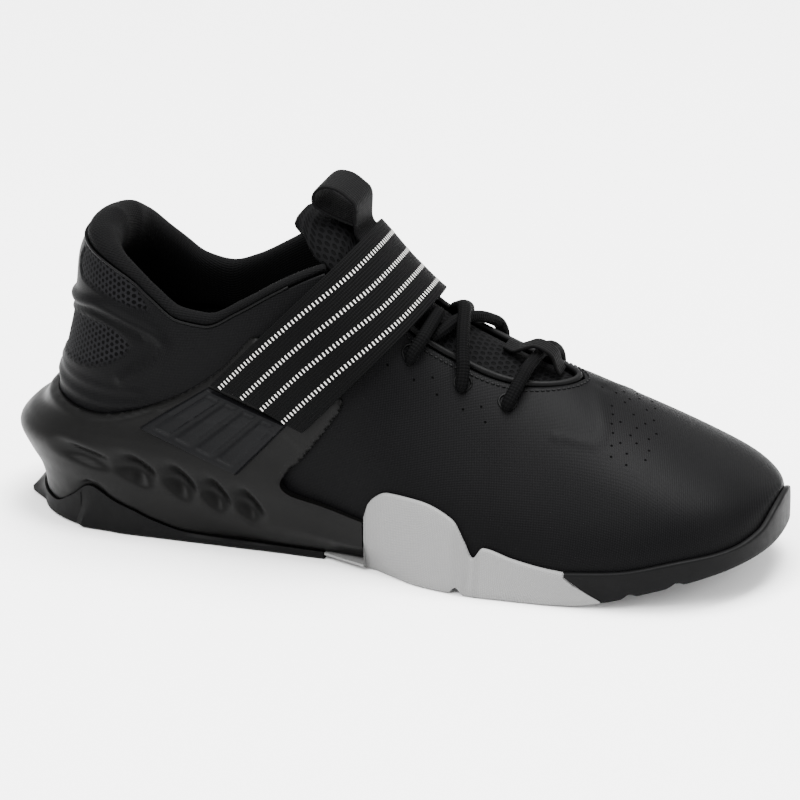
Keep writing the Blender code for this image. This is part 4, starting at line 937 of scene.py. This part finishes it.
def makeHeelRubber():
    heel = dict(fan=70, step=0.0014, end=0.443, proud=0.0008, floor=0.86)
    last = stationAt(heel["end"])
    stations = roundHeel(heel["fan"], np.append(np.arange(0.0, last - heel["step"] / 2, heel["step"]), last))

    def columns(side, stations):
        z, swell = flankRows(side, stations, 2, 0, 1)
        crest = flank(side, stations, z[:, 0], swell[:, 0])
        crest[:, 0] = np.where(stations > 0, sectionX(stations), crest[:, 0])
        x = sectionX(stations)
        centre = np.stack([x, np.zeros_like(x)], -1)
        outward = unit(crest[:, :2] - centre)
        crest[:, :2] += outward * shoe["gap"]
        edge = crest.copy()
        edge[:, :2] += outward * heel["proud"]
        plan = heelPlan(side, stations)
        short = ((plan - centre) * outward).sum(1) < ((edge[:, :2] - centre) * outward).sum(1)
        plan = np.where(short[:, None], edge[:, :2], plan)

        def level(flat, z):
            return np.concatenate([flat, np.broadcast_to(z, x.shape)[:, None]], -1)

        thick = shoe["rubber"]
        foot = level(plan + (centre - plan) * 0.03, 0.0)
        low, lip = level(plan, thick * 0.3), level(plan, thick * 0.8)
        wall = [mix(lip, edge, t) for t in np.linspace(0.0, 1.0, 9)]
        corner = level(centre + (crest[:, :2] - centre) * heel["floor"], thick)
        return np.stack([level(centre, 0.0), foot, low] + wall + [crest, corner, level(centre, thick)], axis=1)

    points = rings(columns, stations)
    mesh = gridOf(points, uvs=surfaceUvs(points, stations))
    capEnd(mesh)
    piece = addPiece("heelRubber", mesh, finishes["rubber"], ["outsole_heel"], sharp=38)
    rounded(piece, 0.0004, 2, 38)


grooves = dict(along=[0.632, 0.845, 0.898], depth=[0.80, 0.40, 0.45])


def undersideHeight(x):
    at = share(x)
    rise = shoe["toeSpring"] * column(underside, "rise", at)
    for along, depth in zip(grooves["along"], grooves["depth"]):
        away = np.abs(at - along) * shoe["length"]
        rise = rise + shoe["rubber"] * depth * ease(1 - away / shoe["rubber"])
    return rise


def soleColumns(side, x, wrap, joint=0.764, lean=0.047, flare=0.0022):
    # half sections of the forefoot or toe rubber, which lean forwards towards the floor at their joint
    slant = lean * shoe["length"] * ease(1 - np.abs(share(x) - joint) / 0.11)
    tuck = 0.0035 * ease((0.58 - share(x)) / 0.08)
    top = shoe["heelLift"] * column(wrap, "height", share(x))
    bed, tip = bedHeight(x), place(shoe["toeTip"])
    wide, thick, gap = shoe["soleWrap"], shoe["rubber"], shoe["gap"]
    flared = flare * ease(1 - np.abs(share(x) - 0.640) / 0.170)

    def leaned(height):
        return np.minimum(x + slant * (1 - height), tip)

    footX, wallX = leaned(0.0), leaned(0.75)
    low = undersideHeight(footX)
    station = x - heelX

    def foot(offset, z):
        point = skin(side, footX - heelX, 0.0, wide - tuck + flared + offset)
        point[:, 2] = z
        return point

    edge, bevel = foot(-thick * 0.4, low), foot(gap - thick * 0.08, low + thick * 0.16)
    sideLow = foot(gap, low + thick * 0.4)
    wall = skin(side, wallX - heelX, 0.0, wide + flared * 0.25 + gap)
    wall[:, 2] = mix(undersideHeight(wallX), bedHeight(wallX), 0.75)
    lower = [mix(sideLow, wall, t) for t in (0.25, 0.5, 0.75)]
    lip = np.minimum(0.0010, (top - bed) * 0.4)
    upward = [flank(side, station, mix(bed, top - lip, t), wide + gap) for t in (0.25, 0.5, 0.75, 1.0)]
    upward += [flank(side, station, top - lip * (1 - drop), gap + wide * out)
               for drop, out in ((0.5, 0.93), (0.86, 0.72), (1.0, 0.35))]
    inward = [flank(side, station, mix(top, bed, t), gap) for t in (0.0, 0.4, 0.75, 1.0)]
    inward[-1][:, 2] = bed

    def middle(centreX, z, edge):
        atTip = (centreX >= tip - gap / 10)[:, None]
        plain = np.stack([centreX, np.zeros_like(x), z], -1)
        return np.where(atTip, np.stack([edge[:, 0], edge[:, 1], z], -1), plain)

    ring = [middle(footX, low, edge), edge, bevel, sideLow] + lower + [wall] + upward + inward
    points = np.stack(ring + [middle(x, bed, inward[-1])], axis=1)
    points[..., 0] = np.maximum(points[..., 0], place(shoe["clipEnd"]) + 2 * gap)
    return points


def makeForefoot():
    front = dict(rubberEnd=0.443, joint=0.764, step=0.0014, fine=(0.624, 0.676), fineStep=0.0006)
    gap = shoe["gap"]
    start, rear = place(shoe["clipEnd"]) + 3 * gap, place(front["rubberEnd"]) + gap
    last = place(front["joint"])
    fineFrom, fineTo = (place(at) for at in front["fine"])
    places = np.concatenate([np.linspace(rear, start - gap, 12), np.arange(start, fineFrom, front["step"]),
                             np.arange(fineFrom, fineTo, front["fineStep"]),
                             np.arange(fineTo, last - 0.0005, front["step"]), [last]])

    def columns(side, stations):
        x = sectionX(stations)
        points = soleColumns(side, np.maximum(x, start), forefootWrap)
        behind = x < start - gap / 2
        first = points[np.argmax(~behind)]
        wide = heelPlan(side, np.array([rear - heelX]))[0, 1]
        narrowing = mix(wide / first[11, 1], 1.0, (x - rear) / (start - rear))
        top = shoe["rubber"] - gap
        heights = np.interp(np.arange(first.shape[0]), [0, 1, 2, 3, 7, 11], [0, 0, 0.12, 0.3, 0.7, 1.0]) * top
        widths = first[:, 1].copy()
        widths[12:-1] = np.linspace(first[11, 1], first[-2, 1], len(widths[12:-1]) + 1)[1:]
        tread = np.stack(np.broadcast_arrays(x[:, None], widths[None] * narrowing[:, None], heights[None]), -1)
        return np.where(behind[:, None, None], tread, points)

    stations = places - heelX
    points = rings(columns, stations)
    mesh = gridOf(points, uvs=surfaceUvs(points, stations))
    capEnd(mesh)
    addPiece("forefootRubber", mesh, finishes["grey"], ["outsole_forefoot"], sharp=42)


def makeToeRubber():
    toe = dict(joint=0.764, step=0.0014, closing=0.955)
    start = place(toe["joint"]) + 2 * shoe["gap"]
    closing = place(toe["closing"])
    tip = place(shoe["toeTip"])
    x = np.concatenate([np.arange(start, closing, toe["step"]),
                        closing + (tip - closing) * np.sin(np.linspace(0, 1, 30) * math.pi / 2)])
    points = rings(lambda side, stations: soleColumns(side, sectionX(stations), toeWrap), x - heelX)
    mesh = gridOf(points, uvs=surfaceUvs(points, x - heelX))
    capEnd(mesh)
    addPiece("toeRubber", mesh, finishes["rubber"], ["outsole_toe"], sharp=42)


makeHeelRubber()
makeForefoot()
makeToeRubber()
print("outsole made")


def makeInsole():
    insole = dict(thick=0.0035, edge=0.0008, fan=28)
    start, tip = place(shoe["toeStart"]), place(shoe["toeTip"])
    side = np.concatenate([np.arange(0.0, start - heelX, 0.004), start - heelX
                           + (tip - start) * np.sin(np.linspace(0.0, 1.0, 16) * math.pi / 2)])
    stations = roundHeel(insole["fan"], side)

    def edgeLine(side, stations, extra, z):
        x = sectionX(stations)
        narrowing = insole["thick"] * 0.6 * ease((x - start) / (tip - start))
        inset = shoe["wall"] + 2 * shoe["gap"] + narrowing + extra
        line = skin(side, stations, 0.0, -inset)
        line[:, 2] = bedHeight(x) + shoe["gap"] + z
        return line

    def columns(side, stations):
        x = sectionX(stations)
        both = np.minimum(edgeLine(-1, stations, 0.0, 0.0)[:, 0], edgeLine(1, stations, 0.0, 0.0)[:, 0])
        centreX = np.where(stations > 0, np.minimum(x, both), x)
        edges = [edgeLine(side, stations, extra, z) for extra, z in
                 ((0.0, 0.0), (0.0, insole["thick"] * 0.5), (insole["edge"], insole["thick"]))]
        centre = np.stack([centreX, np.zeros_like(x), edges[0][:, 2]], -1)
        atTip = (stations >= tipStation - 1e-6)[:, None]
        centre = np.where(atTip, edges[0], centre)
        raised = np.where(atTip, edges[2], centre + [0.0, 0.0, insole["thick"]])
        return np.stack([centre] + edges + [mix(edges[2], raised, t) for t in (0.3, 0.6, 1.0)], axis=1)

    points = rings(columns, stations)
    mesh = gridOf(points, uvs=surfaceUvs(points, stations))
    piece = addPiece("insolePad", mesh, finishes["insole"], ["insole"])


def makeCollar():
    collar = dict(fan=34, front=0.437, bottom=0.62, lining=0.0050)
    inside = -(shoe["wall"] + shoe["gap"])
    last = stationAt(collar["front"])
    stations = roundHeel(collar["fan"], np.linspace(0.0, last, collar["fan"]))

    def columns(side, stations):
        at = perimeter(stations)
        edge = collarHeight(side, stations)
        roll = shoe["collar"] * column(collarEdges, "roll", at)
        pad = collar["lining"] * column(collarEdges, "padding", at)
        lining = np.full_like(at, collar["lining"])
        wall = np.full_like(at, inside)
        bottom = shoe["collar"] * mix(collar["bottom"], 0.80, ease((at - 0.30) / 0.12))
        lip = edge + shoe["wall"] * 0.25
        gap = np.full_like(at, -shoe["gap"])
        half = mix(bottom, edge, 0.5)
        profile = [(bottom, wall), (half, wall), (edge, wall), (lip, wall * 0.9), (lip + roll * 0.10, gap),
                   (lip + roll * 0.30, gap + 0.0004), (lip + roll * 0.55, gap + 0.0003),
                   (lip + roll * 0.88, wall * 0.4 - pad * 0.18), (lip + roll, wall * 0.5 - pad * 0.5),
                   (lip + roll * 0.78, wall - pad * 0.82), (edge, wall - pad),
                   (mix(half, edge, 0.5), wall - pad * 0.9), (half, wall - lining * 0.75),
                   (bottom, wall - lining * 0.35), (bottom, wall)]
        return np.stack([flank(side, stations, z, offset) for z, offset in profile], axis=1)

    points = forwards(columns, stations)
    around = np.concatenate([[0.0], np.cumsum(np.linalg.norm(np.diff(points, axis=0), axis=-1).mean(1))])
    mesh = gridOf(points, uvs=surfaceUvs(points, around))
    capEnd(mesh)
    piece = addPiece("collarPad", mesh, finishes["collar"], ["collar_lining"])
    subdivided(piece, 1)
    # seam along the lower edge of the band
    def seamLine(side, stations):
        return flank(side, stations, collarHeight(side, stations) + shoe["wall"] * 0.25, 0.0002)

    route = forwards(seamLine, stations[stations < stationAt(0.40)])
    ups = np.cross(np.gradient(route, axis=0), [0.0, 0.0, 1.0])
    seam = sweep(route, ups, 0.0005, 0.00035, 6)
    addPiece("collarSeam", seam, finishes["binding"])


def bandPoints(turnsOf, shares, depth, rows):
    # rows over the instep from the outer to the inner side
    stations = stationAt(np.asarray(shares))
    outer, inner = turnsOf(np.asarray(shares))
    t = np.linspace(0.0, 1.0, rows + 1)
    left = skin(-1, stations[:, None], mix(outer[:, None], 1.0, t[None]), depth)
    right = skin(1, stations[:, None], mix(1.0, inner[:, None], t[None]), depth)
    return np.concatenate([left, right[:, 1:]], axis=1)


def makeTongue():
    tongue = dict(thick=0.0055, margin=0.009, top=0.402, wide=0.052, rows=14, corner=0.024,
                  leanFrom=0.452, lean=0.0085)

    def turnsOf(at):
        reach = 1 - ease((at - shoe["collarCorner"] - 0.012) / 0.035)
        turns = []
        for side in (-1, 1):
            half = np.where(at >= shoe["throatFront"], 0.0, throatHalf(side, stationAt(at)))
            half = mix(np.maximum(half, 0.010) + tongue["margin"], tongue["wide"] / 2, reach)
            bend = np.clip((tongue["top"] + tongue["corner"] - at) / tongue["corner"], 0.0, 0.90)
            half = half * np.sqrt(1 - bend ** 2.4)
            turns.append(turnAtHalf(side, stationAt(at), half))
        return turns

    shares = np.concatenate([np.linspace(tongue["top"], 0.47, 18), np.linspace(0.48, 0.745, 52)])
    leaned = tongue["lean"] * ease((tongue["leanFrom"] - shares) / (tongue["leanFrom"] - tongue["top"]))
    depth = -(shoe["wall"] + 1.8 * shoe["gap"] + leaned)[:, None]
    points = bandPoints(turnsOf, shares, depth, tongue["rows"])
    mesh = gridOf(points, uvs=surfaceUvs(points, place(shares)))
    piece = addPiece("tonguePad", mesh, finishes["tongue"], ["tongue"])
    facing(piece, (0.0, 0.0, 1.0))
    thicken(piece, tongue["thick"])
    subdivided(piece, 1)


makeInsole()
makeCollar()
makeTongue()
print("soft parts made")


def overInstep(side, at, half, offset):
    station = stationAt(at)
    return skin(side, station, turnAtHalf(side, station, half), offset)


def throatRoute(inset, offset, rear=0.462, steps=26):
    # along the throat's edge, at a distance inside it
    front = shoe["throatFront"] - inset / shoe["length"]
    route = []
    straight = np.linspace(rear, 0.600, 16)
    angles = np.linspace(0.0, math.pi / 2, steps)
    for side in (-1, 1):
        part = [overInstep(side, at, throatHalf(side, stationAt(at)) - inset, offset) for at in straight]
        widest = widestThroat(side) - inset
        for angle in angles:
            at = shoe["throatTurn"] + (front - shoe["throatTurn"]) * math.sin(angle)
            part.append(overInstep(side, at, widest * math.cos(angle), offset))
        route.append(np.array(part))
    return np.concatenate([route[0], route[1][-2::-1]])


def upFrom(route):
    # up and outwards, away from a line below the instep
    middle, below = 0.003, 0.045
    return unit(np.stack([np.zeros(len(route)), route[:, 1] - middle, np.full(len(route), below)], -1))


def makeBinding():
    binding = dict(radius=0.0014, stitch=0.0021, long=0.0013, wide=0.00035, away=0.0016,
                   sunk=0.0002, raised=0.00012)
    inset = binding["radius"] + 1.8 * shoe["gap"]
    route = throatRoute(inset, -0.4 * shoe["wall"])
    tube = sweep(route, upFrom(route), binding["radius"], binding["radius"], 12)
    addPiece("throatEdge", tube, finishes["binding"], ["throat_binding"])
    line = throatRoute(-binding["away"], 0.00012, 0.50)
    run, ups = runAlong(line), upFrom(line)
    stitches = []
    for mark in np.arange(0.001, run[-1], binding["stitch"]):
        first, last = sample(line, run, mark), sample(line, run, mark + binding["long"])
        up = sample(ups, run, mark)
        sunk, raised = up * binding["sunk"], up * binding["raised"]
        path = np.array([first - sunk, mix(first, last, 0.25) + raised, mix(first, last, 0.75) + raised,
                         last - sunk])
        stitches.append(sweep(path, np.broadcast_to(up, path.shape), binding["wide"], 0.00025, 6))
    addPiece("throatStitches", joined(stitches), finishes["thread"])


strands = dict(
    frontBar=[(-1, 0.6620, 1.38, -0.5), (-1, 0.6635, 1.28, 0.7), (-1, 0.667, 1.08, 1.40),
              (-1, 0.670, 0.86, 1.45), (-1, 0.672, 0.66, 1.38), (-1, 0.675, 0.35, 0.70),
              (1, 0.677, 0.02, 0.35), (1, 0.679, 0.32, 0.80), (1, 0.680, 0.56, 1.42), (1, 0.682, 0.84, 1.50),
              (1, 0.684, 1.10, 1.40), (1, 0.686, 1.30, 0.7), (1, 0.687, 1.42, -0.5)],
    crossOver=[(-1, 0.6055, 1.38, -0.5), (-1, 0.6045, 1.28, 0.7), (-1, 0.601, 1.09, 1.45),
               (-1, 0.597, 0.95, 1.50), (-1, 0.588, 0.50, 1.45), (1, 0.577, 0.10, 1.35),
               (1, 0.566, 0.52, 0.30), (1, 0.560, 0.72, -0.2)],
    crossUnder=[(1, 0.613, 1.44, -0.5), (1, 0.6125, 1.32, 0.7), (1, 0.609, 1.12, 1.45),
                (1, 0.604, 0.95, 1.45), (1, 0.594, 0.45, 0.70), (-1, 0.580, 0.10, 0.10),
                (-1, 0.566, 0.62, 0.10), (-1, 0.558, 0.84, -0.2)],
    topOuter=[(-1, 0.5395, 1.37, -0.5), (-1, 0.5405, 1.26, 0.7), (-1, 0.545, 1.08, 1.40),
              (-1, 0.548, 0.92, 1.42), (-1, 0.554, 0.45, 0.85), (-1, 0.556, 0.20, 0.0)],
    topInner=[(1, 0.565, 1.44, -0.5), (1, 0.566, 1.32, 0.7), (1, 0.567, 1.12, 1.40), (1, 0.568, 0.95, 1.42),
              (1, 0.569, 0.62, 0.9), (1, 0.568, 0.35, 0.0)],
    radius=0.0024, wide=1.06, tall=0.92)


def laceRoute(name):
    # the points lie at a share of the throat's half width and at multiples of the cord's radius
    route = []
    for side, at, half, offset in strands[name]:
        route.append(overInstep(side, at, widestThroat(side) * half, strands["radius"] * offset))
    return smoothPath(route, 7)


def cord(name):
    path = laceRoute(name)
    radius = strands["radius"]
    ends = np.minimum(np.arange(len(path)), np.arange(len(path))[::-1]) / 5
    thin = 0.72 + 0.28 * ease(ends)
    return sweep(path, upFrom(path), radius * strands["wide"] * thin, radius * strands["tall"] * thin, 16)


def makeLaces():
    for title, name, node in (("laceFrontBar", "frontBar", "lace_front_bar"),
                              ("laceTopOuter", "topOuter", "lace_top_outer"),
                              ("laceTopInner", "topInner", "lace_top_inner"),
                              ("laceCrossing", "crossOver", "lace_crossing"),
                              ("laceCrossingUnder", "crossUnder", "lace_crossing")):
        addPiece(title, cord(name), finishes["lace"], [node])
    # stitched rim round each eyelet
    eyelet = dict(radius=0.0032, cord=0.0005, inward=0.13, raised=0.0001)
    rims = []
    for name, end in (("frontBar", 0), ("frontBar", -1), ("crossOver", 0), ("crossUnder", 0), ("topOuter", 0),
                      ("topInner", 0)):
        side, at, half = strands[name][end][:3]
        turn = turnAtHalf(side, stationAt(at), widestThroat(side) * (half - eyelet["inward"]))
        centre, ahead, across, up = standing(side, stationAt(at), turn)
        ring = [centre + (ahead * math.cos(t) + across * math.sin(t)) * eyelet["radius"] + up * eyelet["raised"]
                for t in np.linspace(0, 2 * math.pi, 25)[:-1]]
        ring = np.array(ring + ring[:2])
        rims.append(sweep(ring, np.broadcast_to(up, ring.shape), eyelet["cord"], eyelet["cord"] * 0.7, 6))
    addPiece("eyeletRims", joined(rims), finishes["binding"])


makeBinding()
makeLaces()
print("laces made")

# strap end pads: corners in side view, and four bars along each
tab = dict(rearTop=(0.295, 0.575), frontTop=(0.402, 0.485), frontLow=(0.335, 0.285), rearLow=(0.203, 0.402),
           thick=0.0014, edge=0.0012, bars=[0.17, 0.39, 0.61, 0.83], barWide=0.088, barUp=0.0010, gap=0.0016)

# strap: its edges, rear and front, and the four dashed lines, as distances ahead of the middle plane;
# each as a pair for the lower end and the top of the instep
strap = dict(slope=47.0, ridge=0.504, rear=(0.0185, 0.0180), front=(-0.0178, -0.0180), thick=0.0018,
             across=22, around=60, lineStarts=[0.0152, 0.0068, -0.0012, -0.0100],
             lineTops=[0.0117, 0.0030, -0.0052, -0.0130],
             tick=0.00166, tickLong=0.0017, tickWide=0.00066, tickTall=0.00022,
             tape=0.0014, leaves=0.72, within=0.30)


def strapBase(side, station, turn, lift=0.0):
    # it lies on the wing low down and on the throat's edge tape over the instep
    tape, wing = strap["tape"] * 0.4 + shoe["gap"] * 1.5, shoe["wing"] + shoe["gap"] * 3
    height = surface(side, station, turn)[..., 2] / shoe["collar"]
    return skin(side, station, turn, mix(wing, tape, ease((height - strap["leaves"]) / strap["within"])) + lift)


def strapPoint(side, turn, away, lift=0.0):
    # bisects for the place along the shoe where the surface meets a slanted plane
    turn, away = np.broadcast_arrays(np.asarray(turn, float), np.asarray(away, float))
    centre = strapBase(-1, stationAt(strap["ridge"]), 1.0)
    slope = math.radians(strap["slope"])
    low, high = np.full(turn.shape, stationAt(0.200)), np.full(turn.shape, stationAt(0.640))
    for _ in range(26):
        middle = (low + high) / 2
        point = strapBase(side, middle, turn)
        aside = (point[..., 2] - centre[2]) * math.cos(slope) - (point[..., 0] - centre[0]) * math.sin(slope)
        low, high = np.where(aside > away, middle, low), np.where(aside > away, high, middle)
    return strapBase(side, middle, turn, lift)


def strapEnd(side, t):
    # the band ends a little above the upper edge of its end pad
    along = mix(tab["rearTop"][0], tab["frontTop"][0], t)
    height = shoe["collar"] * mix(tab["rearTop"][1], tab["frontTop"][1], t) + tab["gap"]
    return turnAtHeight(side, stationAt(along), height)


def strapAway(turn, pair):
    return mix(pair[0], pair[1], ease((np.asarray(turn) - 0.15) / 0.6))


def strapLine(pair, count, lift=0.0, shift=0.0, short=0.0):
    # from the outer end over the instep to the inner end
    t = (strap["rear"][0] - pair[0]) / (strap["rear"][0] - strap["front"][0])
    halves = []
    for side in (-1, 1):
        turns = np.linspace(float(strapEnd(side, t)) + short, 1.0, count)
        halves.append(strapPoint(side, turns, strapAway(turns, pair) + shift, lift))
    return np.concatenate([halves[0], halves[1][-2::-1]])


def makeStrap():
    t = np.linspace(0.0, 1.0, strap["across"] + 1)
    pairs = [tuple(mix(strap["rear"][k], strap["front"][k], part) for k in (0, 1)) for part in t]
    points = np.array([strapLine(pair, strap["around"] + 1) for pair in pairs])
    run = runAlong(points[strap["across"] // 2])
    wide = (strap["rear"][0] - strap["front"][0]) * t
    uvs = np.stack(np.broadcast_arrays(run[None], wide[:, None]), -1)
    mesh = gridOf(points, uvs=uvs)
    piece = addPiece("strapBand", mesh, finishes["strap"], ["strap"])
    facing(piece, (0.0, 0.0, 1.0))
    thicken(piece, strap["thick"], 1.0)
    rounded(piece, 0.0005, 2, 50)
    ticks = bmesh.new()
    for pair in zip(strap["lineStarts"], strap["lineTops"]):
        line = strapLine(pair, 240, strap["thick"], 0.0, 0.004)
        beside = strapLine(pair, 240, strap["thick"], -0.002, 0.004)
        run, along = runAlong(line), np.gradient(line, axis=0)
        for mark in np.arange(0.0, run[-1], strap["tick"]):
            spot, ahead, side = (sample(values, run, mark) for values in (line, along, beside - line))
            ahead = unit(ahead)
            up = np.cross(side, ahead)
            up *= np.sign(up[2] + (up[1] * np.sign(spot[1] - 0.003))) / np.linalg.norm(up)
            side = np.cross(up, ahead)
            for vert in bmesh.ops.create_cube(ticks, size=1.0)["verts"]:
                a, b, c = vert.co
                # narrower at the top, and mostly sunk into the band
                wide, long, tall = (0.86, 0.9, 0.3) if c > 0 else (1, 1, 1.0)
                flat = ahead * a * strap["tickWide"] * wide + side * b * strap["tickLong"] * long
                vert.co = spot + flat + up * c * 2 * strap["tickTall"] * tall
    addPiece("strapTicks", ticks, finishes["tick"], sharp=30)


def makeTabs():
    for title, node, side in (("strapTabOuter", "strap_tab_outer", -1),
                              ("strapTabInner", "strap_tab_inner", 1)):
        k, n = np.meshgrid(np.linspace(0, 1, 49), np.linspace(0, 1, 41), indexing="ij")
        corner = {name: np.array(tab[name]) for name in ("rearTop", "frontTop", "frontLow", "rearLow")}
        upperLine = mix(corner["rearTop"], corner["frontTop"], k[..., None])
        lowerLine = mix(corner["rearLow"], corner["frontLow"], k[..., None])
        spot = mix(upperLine, lowerLine, n[..., None])
        stations, z = stationAt(spot[..., 0]), shoe["collar"] * spot[..., 1]
        zRows, swellRows = flankRows(side, stations.ravel(), 44)
        pocketed = swellRows - pocketDepth(np.broadcast_to(stations.ravel()[:, None], zRows.shape), zRows)
        swell = np.array([np.interp(height, rows, values, right=shoe["wing"] + shoe["gap"])
                          for height, rows, values in zip(z.ravel(), zRows, pocketed)]).reshape(z.shape)
        border = np.minimum(np.minimum(k, 1 - k) * 0.034, np.minimum(n, 1 - n) * 0.030)
        lift = tab["thick"] * np.sqrt(1 - (1 - np.clip(border / tab["edge"], 0, 1)) ** 2)
        for bar in tab["bars"]:
            inside = ease((n - 0.05) / 0.06) * ease((0.90 - n) / 0.05)
            lift = lift + tab["barUp"] * ease((tab["barWide"] - np.abs(k - bar)) / 0.03) * inside
        face = flank(side, stations, z, swell + shoe["gap"] * 2.2 + lift)
        base = flank(side, stations, z, swell + shoe["gap"] * 2.2 - 0.0002)
        uvs = np.stack([n * 0.030, k * 0.034], -1)
        mesh = joined([gridOf(face, uvs=uvs), gridOf(base, uvs=uvs)])
        edges = [edge for edge in mesh.edges if edge.is_boundary]
        bmesh.ops.bridge_loops(mesh, edges=edges)
        addPiece(title, mesh, finishes["tab"], [node], sharp=50)


makeStrap()
makeTabs()
print("strap made")

loop = dict(forward=[0.66, 0.42, 0.08, -0.30, -0.56, -0.56, -0.26, 0.16, 0.60],
            up=[0.30, 0.58, 0.78, 0.80, 0.58, 0.28, 0.08, -0.08, -0.22], height=0.0132, wide=0.021,
            thick=0.0013,
            foot=(0.474, 0.458), root=0.430)
keeper = dict(along=[0.638, 0.650, 0.659, 0.669, 0.682, 0.694, 0.703, 0.710],
              offset=[-0.55, -0.40, 0.70, 1.95, 2.15, 1.70, 0.30, -0.50], wide=0.0085, thick=0.0013)


def ribbon(name, path, wide, thick, nodes):
    line = smoothPath(path, 6)
    tangents = np.gradient(line, axis=0)
    ups = np.cross(tangents, [0.0, 1.0, 0.0])
    mesh = sweep(line, ups, wide / 2, thick / 2, 28, 0.30)
    # the map runs along the band and across it
    layer = mesh.loops.layers.uv["follow"]
    for face in mesh.faces:
        for corner in face.loops:
            corner[layer].uv = (corner[layer].uv[0], corner.vert.co.y)
    addPiece(name, mesh, finishes["webbing"], nodes, sharp=50)


def makeRibbons():
    seat = -(shoe["wall"] - loop["thick"] * 0.5 - shoe["gap"])
    top = skin(-1, stationAt(loop["root"]), 1.0, -shoe["wall"])
    path = [skin(-1, stationAt(at), 1.0, seat) for at in loop["foot"]]
    path += [top + loop["height"] * np.array([a, 0.0, b]) for a, b in zip(loop["forward"], loop["up"])]
    path = [(point[0], path[0][1], point[2]) for point in path]
    ribbon("pullLoop", path, loop["wide"], loop["thick"], ["pull_loop"])
    over = [skin(-1, stationAt(at), 1.0, strands["radius"] * offset)
            for at, offset in zip(keeper["along"], keeper["offset"])]
    over = [(point[0], over[3][1], point[2]) for point in over]
    ribbon("laceKeeper", over, keeper["wide"], keeper["thick"], ["lace_keeper"])


def makePinholes():
    # small punched holes over the toes and a few beside the lacing, in rows on the surface; each is a near
    # black plug whose top is painted shade for the hole
    # field: places ahead and aside; extra: with heights too; all in mm
    holes = dict(radius=0.00062, sides=8, raised=0.00006, sunk=0.0005,
                 extra=[(105.1, -28.8, 77.2), (114.7, -27.0, 71.7), (120.9, -23.6, 72.1), (123.6, -27.0, 66.9),
                        (133.8, -27.4, 62.4), (140.0, -24.6, 63.1), (142.6, -28.1, 58.7)],
                 field=[(178, 6), (183, 7.5), (188, 8.5), (181.6, 2), (187.3, 4), (195, 7), (184, -2.6),
                        (185.5, -7),
                        (192, -1), (199, 2), (189, -9), (197, -3), (186.4, -12), (188, -16), (195, -8),
                        (202, -6),
                        (191.6, -19), (194, -13.4), (200.4, -11), (189, -21.6), (197, -16), (190, -26),
                        (195, -22.4),
                        (202, -17), (196, -27), (202, -22), (179.4, 11), (184.8, 12.4), (190.4, 13.6),
                        (197, 12),
                        (182.6, 17), (188.4, 18.4), (194.4, 18), (186.4, 23), (192.6, 23.6), (190.2, 28)])
    spots = []
    for x, y in np.array(holes["field"]) / 1000:
        station = x - heelX
        shift = float(section(-1, station)[0])
        side = -1 if y < shift else 1
        spots.append((side, station, float(turnAtHalf(side, station, abs(y - shift)))))
    for x, y, z in holes["extra"]:
        for side in (-1, 1):
            station = x / 1000 - heelX
            spots.append((side, station, float(turnAtHeight(side, station, z / 1000))))
    mesh = bmesh.new()
    for side, station, turn in spots:
        centre, ahead, across, up = standing(side, station, turn)
        grown = bmesh.ops.create_cone(mesh, cap_ends=True, segments=holes["sides"], radius1=holes["radius"],
                                      radius2=holes["radius"] * 0.8, depth=1.0)["verts"]
        for vert in grown:
            a, b, c = vert.co
            vert.co = centre + ahead * a + across * b + up * (holes["raised"] if c > 0 else -holes["sunk"])
    addPiece("punchedHoles", mesh, finishes["hole"], sharp=30)


makeRibbons()
makePinholes()
print("small parts made")


def makeStudio():
    studio = dict(floor=6.0, white=(0.94, 0.94, 0.94), sky=1.7, aim=(0.1, 0.0, 0.05),
                  lamps=[("key", (-0.5, -1.3, 1.6), 1.1, 70.0), ("top", (0.25, 0.35, 1.9), 1.2, 150.0),
                         ("side", (1.5, -0.5, 0.8), 0.9, 14.0)])
    floor = bmesh.new()
    bmesh.ops.create_grid(floor, x_segments=1, y_segments=1, size=studio["floor"] / 2)
    data = bpy.data.meshes.new("floor")
    floor.to_mesh(data)
    floor.free()
    ground = linked("floor", data)
    paper = Finish("paper", studio["white"], 0.9, 0.1)
    data.materials.append(paper.material)
    world = bpy.data.worlds.new("studio")
    bpy.context.scene.world = world
    world.use_nodes = True
    sky = world.node_tree.nodes["Background"]
    sky.inputs["Color"].default_value = (1.0, 1.0, 1.0, 1.0)
    sky.inputs["Strength"].default_value = studio["sky"]
    for name, spot, size, watts in studio["lamps"]:
        light = linked(name, bpy.data.lights.new(name, "AREA"))
        light.data.size, light.data.energy = size, watts
        light.location = spot
        light.rotation_euler = (Vector(studio["aim"]) - Vector(spot)).to_track_quat("-Z", "Y").to_euler()


makeStudio()
print("studio made")
